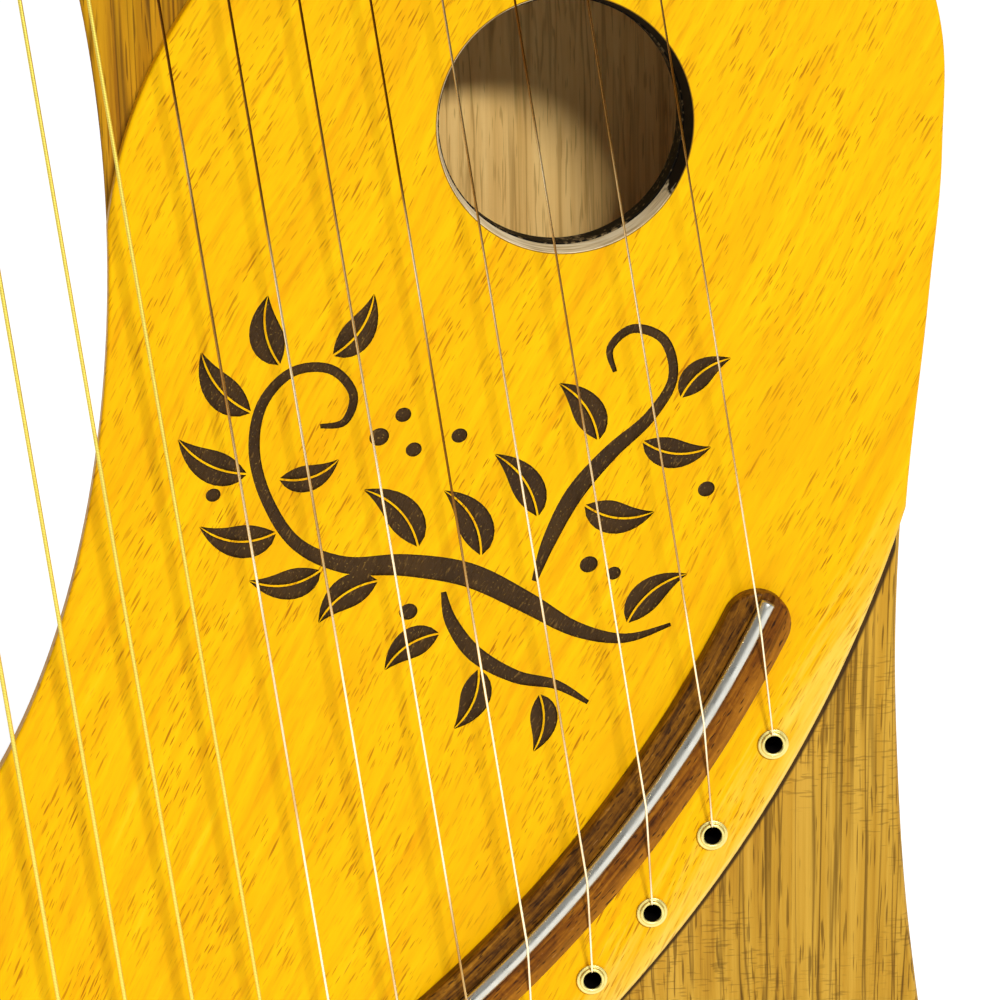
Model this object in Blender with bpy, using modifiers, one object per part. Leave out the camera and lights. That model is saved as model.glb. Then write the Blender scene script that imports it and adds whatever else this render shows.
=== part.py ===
"""A sixteen-string lyre harp, standing upright on its foot.

The front faces -Y, the treble strings are at +X and +Z is up.
The origin is the centre of the flat foot. All sizes are in metres.
"""

import math

import bmesh
import bpy
from mathutils import Matrix, Vector

# Gaps
GLUE = 0.0003            # between two pieces that are glued or seated
RUNNING = 0.0003         # round a tuning pin, and between a string and what it passes

# Body
BODY_DEPTH = 0.036
EDGE_ROUND = 0.0015
OUTLINE_STEPS = 5
FOOT_HALF_WIDTH = 0.160
FOOT_ROUND = 0.024
WAIST_HALF_WIDTH = 0.1430
BULGE_HALF_WIDTH = 0.1476
WAIST_HEIGHT = 0.170
BULGE_HEIGHT = 0.234

# Knots of the outside between its main places, as shares of the way across and up
FOOT_TO_WAIST = ((0.256, 0.3235), (0.690, 0.5324), (0.965, 0.788))
WAIST_TO_BULGE = ((0.696, 0.656),)
BULGE_TO_HEAD = ((0.047, 0.1615), (0.500, 0.3815), (0.857, 0.656), (1.0, 0.897))
ALONG_HEAD = ((0.048, 0.0), (0.263, 0.224), (0.666, 0.714), (1.0, 1.0), (1.086, 0.851))
HEAD_TO_BASS_SIDE = ((0.509, 0.7787), (0.2045, 0.4205))

# Window that the hand reaches through
WINDOW_ASIDE = 0.0222    # from the belly's centre
WINDOW_DROP = 0.0157
WINDOW_HALF_WIDTH = 0.0555
WINDOW_HALF_HEIGHT = 0.110
WINDOW_STEPS = 60

# Its wall leans back, so that the window is larger behind by this much
FLARE_SIDE = 0.0035
FLARE_TOP = 0.003
FLARE_BOTTOM = 0.014

# Soundboard, a leaf made of four arcs
BOARD_THICK = 0.004
BOARD_EDGE_ROUND = 0.0009
BOARD_SETBACK = 0.0006   # from the outside of the body
BELLY_RADIUS = 0.2126
BELLY_OVERRUN = 0.004    # the belly's arc runs this far past the bulge and is trimmed
BELLY_RISE = 0.0249      # from the foot to the belly's lowest point
BELLY_END = -100.0       # degrees, where the belly passes into the tail
LOBE_RADIUS = 0.075
LOBE_OVERRUN = 0.0161    # the lobe's circle runs this far past the belly's
LOBE_ANGLE = -8.27       # degrees, of the lobe's centre from the belly's
LOBE_START = 180.0       # degrees, inside the window
TAIL_RADIUS = 0.045
FLANK_RADIUS = 0.150
FLANK_END = 130.0
LOBE_STEPS = 20
BELLY_STEPS = 22
TAIL_STEPS = 7

# Sound box
RIM = 0.014              # wood left beside the soundboard's edge
WALL = 0.012             # wood left beside the outside
WINDOW_WALL = 0.008      # and beside the window, where it is widest
LEDGE = 0.0035           # step that the back plate sits on
BACK_THICK = 0.003

# Sound hole
HOLE_ASIDE = -0.0039     # from the lobe's centre
HOLE_RISE = 0.0236
HOLE_RADIUS = 0.0199
RING_WIDTH = 0.007
RING_THICK = 0.005
RING_STEPS = 48

# Braces
BRACE_WIDTH = 0.007
BRACE_HEIGHT = 0.008
BRACE_TOE = 0.35         # height left at a brace's ends, as a share
BRACE_CLEAR = 0.002      # from a brace's end to the walls
UPPER_BRACE_DROP = 0.0160    # below the lobe's centre
UPPER_BRACE_ANGLE = -30.0
UPPER_BRACE_LENGTH = 0.084
LOWER_BRACE_INSET = 0.0546   # from the belly's edge
LOWER_BRACE_PLACE = -50.0    # degrees round the belly
LOWER_BRACE_ANGLE = -35.0
LOWER_BRACE_LENGTH = 0.060
BACK_BRACE_ASIDE = 0.0551    # from the tail's centre
BACK_BRACE_DROP = 0.0098     # below the window's wall
BACK_BRACE_LENGTH = 0.150
BACK_BRACE_HEIGHT = 0.006

# Bridge and saddle, on arcs about one centre
BRIDGE_ASIDE = -0.0068   # from the belly's centre
BRIDGE_RISE = 0.0137
SADDLE_INSET = 0.0055    # the saddle's arc is this much tighter than the belly's
BRIDGE_WIDTH = 0.0109
BRIDGE_OFFSET = 0.0006   # the saddle lies this much nearer the inner edge
BRIDGE_HEIGHT = 0.0028
BRIDGE_OVERHANG = 0.0048 # bridge beyond the outer strings
BRIDGE_STEPS = 20
STRIP_EDGE = 0.0006      # rounding of the bridge's and the nut's rims
END_STEPS = 8
ROD_RADIUS = 0.0012
ROD_PROUD = 0.0021       # how far the saddle and nut rods stand out of the wood
ROD_OVERHANG = 0.0036

# Strings
STRING_COUNT = 16
PLAIN_STRINGS = 8        # the trebles are plain steel, the rest are wound
TREBLE_RADIUS = 0.00020
BASS_RADIUS = 0.00045
TREBLE_LEAN = 9.76       # degrees off upright
BASS_LEAN = 6.90
NUT_ASIDE = -0.0046      # treble end, from the lobe's centre
NUT_RISE = 0.1266
NUT_SLOPE = 21.0
PITCH_TREBLE = 0.01255   # along the nut
PITCH_DROP = 0.00019     # each pitch is this much smaller than the last
BEND_RADIUS = 0.0012
BEND_STEP = 0.45         # radians turned by each facet of a bend

# Eyelets where the strings enter the board
EYELET_ARC = 0.0135      # beyond the saddle
EYELET_ASIDE = 0.0036    # the treble one lies this far right of its string's saddle point
EYELET_PITCH = 0.0098
EYELET_FLANGE = 0.00255
EYELET_BORE = 0.0015
EYELET_WALL = 0.0004
EYELET_PROUD = 0.0009
EYELET_STEPS = 10

# String holes through the body, with a wider seat for the ball end at the back
STRING_HOLE = 0.0017
HOLE_STEPS = 8
HOLE_FIT = 0.0004        # a drilled hole's radius over that of what it holds
BALL_SEAT = 0.0028
BALL_SEAT_DEPTH = 0.007
BALL_RADIUS = 0.0020
BALL_LENGTH = 0.0030
BALL_STEPS = 10

# Nut
NUT_WIDTH = 0.010
NUT_OVERHANG = 0.009

# Head, from the nut to its upper rim and past the outer strings
HEAD_RISE = 0.044
HEAD_TREBLE_MARGIN = 0.010
HEAD_BASS_MARGIN = 0.046

# Tuning pins
PIN_RADIUS = 0.0025
PIN_STEPS = 12
PIN_DISTANCE = 0.022     # from the nut, along the string
PIN_DEPTH = 0.026        # in the wood
PIN_SHAFT = 0.0105       # round part that stands out
SHOULDER = 0.0008        # where round turns into square
PIN_HEAD = 0.0095        # squared part above the shaft
HEAD_WIDTH_LOW = 0.0042
HEAD_WIDTH_TOP = 0.0036
EYE_RADIUS = 0.0006
EYE_HEIGHT = 0.0085      # above the wood
COIL_HEIGHT = 0.0030     # lowest turn above the wood
COIL_TURNS = 2.25
COIL_SPREAD = 0.04       # turns that one pin may have more than another
COIL_GAP = 0.0006        # clear space between turns
COIL_STEPS = 12          # points in a turn

MARGIN = 0.001           # how far a cutter runs past what it cuts

BELLY_CENTRE = (BULGE_HALF_WIDTH + BELLY_OVERRUN - BELLY_RADIUS, BELLY_RISE + BELLY_RADIUS)
WINDOW_CENTRE = (BELLY_CENTRE[0] + WINDOW_ASIDE, BELLY_CENTRE[1] - WINDOW_DROP)
BRIDGE_CENTRE = (BELLY_CENTRE[0] + BRIDGE_ASIDE, BELLY_CENTRE[1] + BRIDGE_RISE)
SADDLE_RADIUS = BELLY_RADIUS - SADDLE_INSET
FRONT = -BODY_DEPTH / 2
BACK = BODY_DEPTH / 2
BOARD_FRONT = FRONT - GLUE - BOARD_THICK
BRIDGE_TOP = BOARD_FRONT - GLUE - BRIDGE_HEIGHT
ROD_AXIS = BRIDGE_TOP - ROD_PROUD + ROD_RADIUS
ROD_CREST = BRIDGE_TOP - ROD_PROUD

COLOURS = {
    "walnut": ((0.42, 0.25, 0.09), 0.45, 0.0),
    "yellow_wood": ((0.88, 0.50, 0.02), 0.30, 0.0),
    "rosewood": ((0.20, 0.09, 0.04), 0.40, 0.0),
    "ebony": ((0.03, 0.02, 0.015), 0.45, 0.0),
    "spruce": ((0.70, 0.52, 0.30), 0.60, 0.0),
    "steel": ((0.62, 0.62, 0.62), 0.25, 1.0),
    "nickel": ((0.70, 0.68, 0.64), 0.22, 1.0),
    "bronze": ((0.72, 0.48, 0.20), 0.30, 1.0),
    "brass": ((0.80, 0.62, 0.28), 0.25, 1.0),
}


def collection(name):
    made = bpy.data.collections.new(name)
    bpy.context.scene.collection.children.link(made)
    return made


def material(name):
    """Return the Principled material of that name, made once."""
    found = bpy.data.materials.get(name)
    if found:
        return found
    colour, roughness, metallic = COLOURS[name]
    made = bpy.data.materials.new(name)
    made.use_nodes = True
    shader = made.node_tree.nodes["Principled BSDF"]
    shader.inputs["Base Color"].default_value = (*colour, 1.0)
    shader.inputs["Roughness"].default_value = roughness
    shader.inputs["Metallic"].default_value = metallic
    made.diffuse_color = (*colour, 1.0)
    return made


def finish(thing, finish_name, smooth_angle=35.0):
    """Give a piece its material and smooth shading."""
    thing.data.materials.clear()
    thing.data.materials.append(material(finish_name))
    thing.data.shade_smooth()
    thing.data.set_sharp_from_angle(angle=math.radians(smooth_angle))
    return thing


def as_cutter(thing):
    """Keep a shape as a cutter only."""
    for holder in list(thing.users_collection):
        holder.objects.unlink(thing)
    cutters.objects.link(thing)
    thing.hide_render = True
    thing.display_type = "WIRE"
    return thing


def add_mesh(name, mesh):
    made = bpy.data.objects.new(name, mesh)
    parts.objects.link(made)
    return made


def closed_mesh(curve_thing):
    """Turn a curve object into a mesh object of the same name, with welded caps."""
    bpy.context.view_layer.update()
    name = curve_thing.name
    graph = bpy.context.evaluated_depsgraph_get()
    mesh = bpy.data.meshes.new_from_object(curve_thing.evaluated_get(graph))
    shape = bmesh.new()
    shape.from_mesh(mesh)
    bmesh.ops.remove_doubles(shape, verts=shape.verts, dist=0.00001)
    bmesh.ops.recalc_face_normals(shape, faces=shape.faces)
    shape.to_mesh(mesh)
    shape.free()
    matrix = curve_thing.matrix_world.copy()
    curve = curve_thing.data
    bpy.data.objects.remove(curve_thing)
    bpy.data.curves.remove(curve)
    made = add_mesh(name, mesh)
    made.matrix_world = matrix
    return made


def boolean(thing, other, operation="DIFFERENCE"):
    """Cut, join or intersect one mesh object with another, live."""
    modifier = thing.modifiers.new(other.name, "BOOLEAN")
    modifier.operation = operation
    modifier.solver = "EXACT"
    modifier.object = other
    return thing


def slab(name, outline, front, back, edge=0.0, smooth=False, inset=0.0):
    """Extrude a flat outline of (x, z) points from y = front to y = back.

    A smooth outline is a Bezier through its points, where a third value
    of True marks a corner. Edge rounds both rims without making it larger,
    and inset makes it smaller all round.
    """
    curve = bpy.data.curves.new(name, "CURVE")
    curve.dimensions = "2D"
    curve.fill_mode = "BOTH"
    spline = curve.splines.new("BEZIER" if smooth else "POLY")
    if smooth:
        spline.bezier_points.add(len(outline) - 1)
        for knot, (x, z, corner) in zip(spline.bezier_points, outline):
            knot.co = (x, z, 0.0)
            knot.handle_left_type = "VECTOR" if corner else "AUTO"
            knot.handle_right_type = "VECTOR" if corner else "AUTO"
    else:
        spline.points.add(len(outline) - 1)
        for point, (x, z) in zip(spline.points, outline):
            point.co = (x, z, 0.0, 1.0)
    spline.use_cyclic_u = True
    curve.resolution_u = OUTLINE_STEPS
    curve.extrude = (back - front) / 2 - edge
    curve.bevel_depth = edge
    curve.bevel_resolution = 0
    curve.offset = -edge - inset
    made = bpy.data.objects.new(name, curve)
    parts.objects.link(made)
    made.rotation_euler = (math.radians(90), 0.0, 0.0)
    made.location = (0.0, (front + back) / 2, 0.0)
    return closed_mesh(made)


def tube(name, points, radius, sides_step=1):
    """Sweep a round tube along points in space."""
    curve = bpy.data.curves.new(name, "CURVE")
    curve.dimensions = "3D"
    spline = curve.splines.new("POLY")
    spline.points.add(len(points) - 1)
    for point, place in zip(spline.points, points):
        point.co = (*place, 1.0)
    curve.bevel_depth = radius
    curve.bevel_resolution = sides_step
    curve.use_fill_caps = True
    made = bpy.data.objects.new(name, curve)
    parts.objects.link(made)
    return closed_mesh(made)


def turned(name, profile, steps, finish_name):
    """Turn a profile of (radius, height) round local Z with a Screw modifier.

    The profile runs from the top to the bottom along its outer side.
    """
    mesh = bpy.data.meshes.new(name)
    mesh.from_pydata([(r, 0.0, h) for r, h in profile],
                     [(i, i + 1) for i in range(len(profile) - 1)], [])
    made = add_mesh(name, mesh)
    screw = made.modifiers.new("Turn", "SCREW")
    screw.steps = steps
    screw.render_steps = steps
    screw.use_merge_vertices = True
    screw.merge_threshold = 0.00001
    made.data.materials.append(material(finish_name))
    return made


def baked(thing):
    """Apply a piece's modifiers to its mesh."""
    bpy.context.view_layer.update()
    graph = bpy.context.evaluated_depsgraph_get()
    mesh = bpy.data.meshes.new_from_object(thing.evaluated_get(graph))
    thing.modifiers.clear()
    thing.data = mesh
    return thing


def grouped(name, source, places):
    """One object that holds a copy of the source's mesh at each matrix."""
    shape = bmesh.new()
    for place in places:
        copy = source.data.copy()
        copy.transform(place)
        shape.from_mesh(copy)
        bpy.data.meshes.remove(copy)
    mesh = bpy.data.meshes.new(name)
    shape.to_mesh(mesh)
    shape.free()
    bpy.data.objects.remove(source)
    return add_mesh(name, mesh)


def arc(centre, radius, start, end, steps):
    """Points on an arc in the X-Z plane, from one angle in degrees to another."""
    points = []
    for i in range(steps + 1):
        angle = math.radians(start + (end - start) * i / steps)
        points.append((centre[0] + radius * math.cos(angle),
                       centre[1] + radius * math.sin(angle)))
    return points


def ellipse(centre, half_width, half_height, steps):
    """Points on an upright ellipse."""
    points = []
    for i in range(steps):
        angle = 2 * math.pi * i / steps
        points.append((centre[0] + half_width * math.cos(angle),
                       centre[1] + half_height * math.sin(angle)))
    return points


def loft(name, rings):
    """A closed solid through rings of equally many points in space."""
    shape = bmesh.new()
    rows = [[shape.verts.new(point) for point in ring] for ring in rings]
    for low, high in zip(rows, rows[1:]):
        for i in range(len(low)):
            j = (i + 1) % len(low)
            shape.faces.new((low[i], low[j], high[j], high[i]))
    shape.faces.new(list(reversed(rows[0])))
    shape.faces.new(rows[-1])
    bmesh.ops.recalc_face_normals(shape, faces=shape.faces)
    mesh = bpy.data.meshes.new(name)
    shape.to_mesh(mesh)
    shape.free()
    return add_mesh(name, mesh)


def polar(centre, radius, degrees):
    """Point at a radius and angle about a centre in the X-Z plane."""
    angle = math.radians(degrees)
    return (centre[0] + radius * math.cos(angle), centre[1] + radius * math.sin(angle))


def lobe_centre():
    return polar(BELLY_CENTRE, BELLY_RADIUS + LOBE_OVERRUN - LOBE_RADIUS, LOBE_ANGLE)


def tail_centre():
    return polar(BELLY_CENTRE, BELLY_RADIUS - TAIL_RADIUS, BELLY_END)


def hole_centre():
    x, z = lobe_centre()
    return (x + HOLE_ASIDE, z + HOLE_RISE)


def nut_along():
    """Unit vector along the nut, from treble to bass, in the X-Z plane."""
    slope = math.radians(NUT_SLOPE)
    return Vector((-math.cos(slope), math.sin(slope)))


def nut_up():
    """Unit vector square to the nut, towards the head."""
    slope = math.radians(NUT_SLOPE)
    return Vector((math.sin(slope), math.cos(slope)))


def string_radius(index):
    share = index / (STRING_COUNT - 1)
    return TREBLE_RADIUS + (BASS_RADIUS - TREBLE_RADIUS) * share


def string_up(index):
    """Unit vector along a string, from saddle to nut."""
    share = index / (STRING_COUNT - 1)
    lean = math.radians(TREBLE_LEAN + (BASS_LEAN - TREBLE_LEAN) * share)
    return Vector((-math.sin(lean), math.cos(lean)))


def nut_point(index):
    """Where a string crosses the nut. Index 0 is the highest treble."""
    along = index * PITCH_TREBLE - PITCH_DROP * index * (index - 1) / 2
    return Vector(lobe_centre()) + Vector((NUT_ASIDE, NUT_RISE)) + nut_along() * along


def saddle_point(index):
    """Where a string, run straight down from the nut, meets the saddle's arc."""
    start = nut_point(index) - Vector(BRIDGE_CENTRE)
    down = -string_up(index)
    half = start.dot(down)
    length = -half + math.sqrt(half * half - start.length_squared + SADDLE_RADIUS ** 2)
    return nut_point(index) + down * length


def saddle_angle(index):
    place = saddle_point(index) - Vector(BRIDGE_CENTRE)
    return math.degrees(math.atan2(place.y, place.x))


def eyelet_point(index):
    """Centre of a string's eyelet, on its own arc below the saddle."""
    x = saddle_point(0).x + EYELET_ASIDE - index * EYELET_PITCH
    reach = SADDLE_RADIUS + EYELET_ARC
    return Vector((x, BRIDGE_CENTRE[1] - math.sqrt(reach ** 2 - (x - BRIDGE_CENTRE[0]) ** 2)))


def wrap_radius(index):
    """Distance from a pin's axis to the middle of the string wound on it."""
    return PIN_RADIUS + RUNNING + string_radius(index)


def pin_touch(index):
    """Where the string first meets its pin."""
    return nut_point(index) + string_up(index) * PIN_DISTANCE


def pin_point(index):
    """Centre of a tuning pin, just to the right of its string."""
    up = string_up(index)
    return pin_touch(index) + Vector((up.y, -up.x)) * wrap_radius(index)


def coil_turns(index):
    """Each pin has stopped at its own angle."""
    return COIL_TURNS + COIL_SPREAD * ((index * 7) % 5)


def knots_between(start, end, shares):
    """Knots of a smooth outline at shares of the way across and up from start to end."""
    return [(start[0] + (end[0] - start[0]) * across, start[1] + (end[1] - start[1]) * up, False)
            for across, up in shares]


def body_outline():
    """Knots of the outside: up the treble side, along the head, down the bass side."""
    right_end = nut_point(0) - nut_along() * HEAD_TREBLE_MARGIN + nut_up() * HEAD_RISE
    left_end = nut_point(STRING_COUNT - 1) + nut_along() * HEAD_BASS_MARGIN + nut_up() * HEAD_RISE
    foot = (FOOT_HALF_WIDTH, 0.0)
    waist = (WAIST_HALF_WIDTH, WAIST_HEIGHT)
    bulge = (BULGE_HALF_WIDTH, BULGE_HEIGHT)
    corner_arc = arc((FOOT_HALF_WIDTH - FOOT_ROUND, FOOT_ROUND), FOOT_ROUND, -90.0, 0.0, 3)
    lower = [(x, z, i == 0) for i, (x, z) in enumerate(corner_arc)]
    lower += knots_between(foot, waist, FOOT_TO_WAIST) + [(*waist, False)]
    lower += knots_between(waist, bulge, WAIST_TO_BULGE) + [(*bulge, False)]
    upper = knots_between(bulge, right_end, BULGE_TO_HEAD)
    upper += knots_between(right_end, left_end, ALONG_HEAD)
    upper += knots_between((-BULGE_HALF_WIDTH, BULGE_HEIGHT), left_end, HEAD_TO_BASS_SIDE)
    mirrored = [(-x, z, corner) for x, z, corner in reversed(lower)]
    return lower + upper + mirrored


def crossing_angles(centre, radius, other, other_radius):
    """Angles, about each of two centres, of the upper point where their circles cross."""
    across = Vector(other) - Vector(centre)
    apart = across.length
    along = (radius ** 2 - other_radius ** 2 + apart ** 2) / (2 * apart)
    rise = math.sqrt(radius ** 2 - along ** 2)
    slope = math.atan2(across.y, across.x)
    return (math.degrees(slope + math.atan2(rise, along)),
            math.degrees(slope + math.atan2(rise, along - apart)))


def leaf_outline(inset):
    """The soundboard's leaf, or a leaf that lies inside it by inset.

    Belly, tail and flank touch each other from inside, and lobe and belly
    cross outside the body, so every arc keeps its centre as the leaf
    shrinks. The open side crosses the window.
    """
    lobe = lobe_centre()
    tail = tail_centre()
    flank = (tail[0] + FLANK_RADIUS - TAIL_RADIUS, tail[1])
    belly_start, lobe_end = crossing_angles(BELLY_CENTRE, BELLY_RADIUS - inset,
                                            lobe, LOBE_RADIUS - inset)
    points = arc(lobe, LOBE_RADIUS - inset, LOBE_START, lobe_end, LOBE_STEPS)
    points += arc(BELLY_CENTRE, BELLY_RADIUS - inset, belly_start, BELLY_END, BELLY_STEPS)[1:]
    points += arc(tail, TAIL_RADIUS - inset, BELLY_END, -180.0, TAIL_STEPS)[1:]
    points += arc(flank, FLANK_RADIUS - inset, 180.0, FLANK_END, TAIL_STEPS)[1:]
    return points


def window_outline():
    return ellipse(WINDOW_CENTRE, WINDOW_HALF_WIDTH, WINDOW_HALF_HEIGHT, WINDOW_STEPS)


def window_behind(grow):
    """The window's outline at the back of the body, or one that is larger all round by grow."""
    centre = (WINDOW_CENTRE[0], WINDOW_CENTRE[1] + (FLARE_TOP - FLARE_BOTTOM) / 2)
    return ellipse(centre, WINDOW_HALF_WIDTH + FLARE_SIDE + grow,
                   WINDOW_HALF_HEIGHT + (FLARE_TOP + FLARE_BOTTOM) / 2 + grow, WINDOW_STEPS)


def rounded_route(corners, radius):
    """Points of a path in space whose corners are turned into short arcs."""
    points = [Vector(corners[0])]
    for before, corner, after in zip(corners, corners[1:], corners[2:]):
        corner = Vector(corner)
        back = (Vector(before) - corner).normalized()
        ahead = (Vector(after) - corner).normalized()
        turn = math.pi - back.angle(ahead)
        reach = radius * math.tan(turn / 2)
        steps = max(1, round(turn / BEND_STEP))
        centre = corner + (back + ahead).normalized() * (radius / math.cos(turn / 2))
        first = corner + back * reach - centre
        last = corner + ahead * reach - centre
        for i in range(steps + 1):
            share = i / steps
            weight_first = math.sin((1 - share) * turn) / math.sin(turn)
            weight_last = math.sin(share * turn) / math.sin(turn)
            points.append(centre + first * weight_first + last * weight_last)
    points.append(Vector(corners[-1]))
    return points


def coil_points(index):
    """The turns of a string on its pin, clockwise from the front and away from the wood."""
    up = string_up(index)
    right = Vector((up.y, -up.x))
    centre = pin_point(index)
    radius = wrap_radius(index)
    pitch = 2 * string_radius(index) + COIL_GAP
    turns = coil_turns(index)
    steps = round(COIL_STEPS * turns)
    points = []
    for i in range(steps + 1):
        angle = 2 * math.pi * turns * i / steps
        place = centre + (up * math.sin(angle) - right * math.cos(angle)) * radius
        height = FRONT - COIL_HEIGHT - pitch * turns * i / steps
        points.append(Vector((place.x, height, place.y)))
    return points


def least_self_gap(points, radius, steps_apart):
    """Smallest clear distance between stretches of a coil that are not neighbours."""
    least = min((a - b).length
                for i, a in enumerate(points)
                for b in points[i + steps_apart:])
    return least - 2 * radius


def chamber(name, front, back, grow=0.0):
    """A prism of the sound box's outline, or one that is larger all round by grow."""
    made = slab(name, leaf_outline(RIM - grow), front, back)
    side = min(WAIST_HALF_WIDTH, BULGE_HALF_WIDTH) - WALL + grow
    top = BELLY_CENTRE[1] + BELLY_RADIUS
    corners = [(-side, 0.0), (side, 0.0), (side, top), (-side, top)]
    sides = as_cutter(slab(name + "_sides", corners, front - MARGIN, back + MARGIN))
    around = as_cutter(slab(name + "_window", window_behind(WINDOW_WALL - grow),
                            front - MARGIN, back + MARGIN))
    boolean(made, sides, "INTERSECT")
    boolean(made, around)
    return made


def facing_front(x, z, y):
    """Matrix that stands local +Z out of the front at a point."""
    return Matrix.Translation((x, y, z)) @ Matrix.Rotation(math.radians(90), 4, "X")


def make_frame():
    """The solid frame: window, sound box, rebate for the back, and all its drilled holes."""
    frame = slab("body_frame", body_outline(), FRONT, BACK, edge=EDGE_ROUND, smooth=True)
    levels = [(window_outline(), FRONT - MARGIN), (window_outline(), FRONT),
              (window_behind(0.0), BACK), (window_behind(0.0), BACK + MARGIN)]
    window = loft("cut_window", [[(x, y, z) for x, z in outline] for outline, y in levels])
    boolean(frame, as_cutter(window))
    boolean(frame, as_cutter(chamber("cut_box", FRONT - MARGIN, BACK + MARGIN)))
    rebate = chamber("cut_rebate", BACK - BACK_THICK - GLUE, BACK + MARGIN, LEDGE)
    boolean(frame, as_cutter(rebate))

    hole = [(0.0, -FRONT + MARGIN), (STRING_HOLE, -FRONT + MARGIN),
            (STRING_HOLE, -BACK + BALL_SEAT_DEPTH), (BALL_SEAT, -BACK + BALL_SEAT_DEPTH),
            (BALL_SEAT, -BACK - MARGIN), (0.0, -BACK - MARGIN)]
    hole = baked(turned("hole", hole, HOLE_STEPS, "walnut"))
    places = [facing_front(*eyelet_point(i), 0.0) for i in range(STRING_COUNT)]
    boolean(frame, as_cutter(grouped("cut_string_holes", hole, places)))

    reach = PIN_RADIUS + HOLE_FIT
    hole = [(0.0, MARGIN), (reach, MARGIN), (reach, -PIN_DEPTH - RUNNING), (0.0, -PIN_DEPTH - RUNNING)]
    hole = baked(turned("hole", hole, PIN_STEPS, "walnut"))
    places = [facing_front(*pin_point(i), FRONT) for i in range(STRING_COUNT)]
    boolean(frame, as_cutter(grouped("cut_pin_holes", hole, places)))
    return finish(frame, "walnut")


def make_back_plate():
    return finish(chamber("back_plate", BACK - BACK_THICK, BACK, LEDGE - GLUE), "walnut")


def make_soundboard():
    """The leaf, trimmed beside the outside and flush with the window."""
    board = slab("soundboard", leaf_outline(0.0), BOARD_FRONT, FRONT - GLUE, edge=BOARD_EDGE_ROUND)
    outside = slab("cut_outside", body_outline(), BOARD_FRONT - MARGIN, FRONT + MARGIN,
                   smooth=True, inset=BOARD_SETBACK)
    boolean(board, as_cutter(outside), "INTERSECT")
    window = slab("cut_board_window", window_outline(), BOARD_FRONT - MARGIN, FRONT + MARGIN)
    boolean(board, as_cutter(window))
    openings = slab("cut_hole", ellipse(hole_centre(), HOLE_RADIUS, HOLE_RADIUS, RING_STEPS),
                    BOARD_FRONT - MARGIN, FRONT + MARGIN)
    boolean(board, as_cutter(openings))
    reach = EYELET_BORE + EYELET_WALL + HOLE_FIT
    hole = [(0.0, MARGIN), (reach, MARGIN), (reach, -BOARD_THICK - MARGIN), (0.0, -BOARD_THICK - MARGIN)]
    hole = baked(turned("hole", hole, HOLE_STEPS, "yellow_wood"))
    places = [facing_front(*eyelet_point(i), BOARD_FRONT) for i in range(STRING_COUNT)]
    boolean(board, as_cutter(grouped("cut_eyelet_holes", hole, places)))
    return finish(board, "yellow_wood")


def make_hole_ring():
    """The dark ring glued behind the sound hole."""
    outer = HOLE_RADIUS + RING_WIDTH
    ring = slab("hole_ring", ellipse(hole_centre(), outer, outer, RING_STEPS),
                FRONT, FRONT + RING_THICK)
    bore = slab("cut_ring", ellipse(hole_centre(), HOLE_RADIUS, HOLE_RADIUS, RING_STEPS),
                FRONT - MARGIN, FRONT + RING_THICK + MARGIN)
    return finish(boolean(ring, as_cutter(bore)), "ebony")


def make_brace(name, centre, angle, length, front, height):
    """A straight brace with its ends cut down towards the wood that carries it."""
    half = length / 2
    ramp = abs(height) * 2
    outline = [(-half, 0.0), (half, 0.0), (half, height * BRACE_TOE),
               (half - ramp, height), (ramp - half, height), (-half, height * BRACE_TOE)]
    curve = bpy.data.curves.new(name, "CURVE")
    curve.dimensions = "2D"
    curve.fill_mode = "BOTH"
    spline = curve.splines.new("POLY")
    spline.points.add(len(outline) - 1)
    for point, (x, y) in zip(spline.points, outline):
        point.co = (x, y, 0.0, 1.0)
    spline.use_cyclic_u = True
    curve.extrude = BRACE_WIDTH / 2
    brace = bpy.data.objects.new(name, curve)
    parts.objects.link(brace)
    brace.location = (centre[0], front, centre[1])
    brace.rotation_euler = (0.0, -math.radians(angle), 0.0)
    return brace


def make_braces():
    """Two on the soundboard and one on the back, all kept clear of the sound box's walls."""
    lobe = lobe_centre()
    tail = tail_centre()
    window_floor = WINDOW_CENTRE[1] - WINDOW_HALF_HEIGHT - FLARE_BOTTOM - WINDOW_WALL
    upper = make_brace("board_brace_upper", (lobe[0], lobe[1] - UPPER_BRACE_DROP),
                       UPPER_BRACE_ANGLE, UPPER_BRACE_LENGTH, FRONT, BRACE_HEIGHT)
    lower = make_brace("board_brace_lower",
                       polar(BELLY_CENTRE, BELLY_RADIUS - LOWER_BRACE_INSET, LOWER_BRACE_PLACE),
                       LOWER_BRACE_ANGLE, LOWER_BRACE_LENGTH, FRONT, BRACE_HEIGHT)
    back = make_brace("back_brace", (tail[0] + BACK_BRACE_ASIDE, window_floor - BACK_BRACE_DROP),
                      0.0, BACK_BRACE_LENGTH, BACK - BACK_THICK - GLUE, -BACK_BRACE_HEIGHT)
    for brace in (closed_mesh(upper), closed_mesh(lower), closed_mesh(back)):
        room = chamber("room_for_" + brace.name, FRONT - MARGIN, BACK + MARGIN, -BRACE_CLEAR)
        finish(boolean(brace, as_cutter(room), "INTERSECT"), "spruce")


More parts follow.
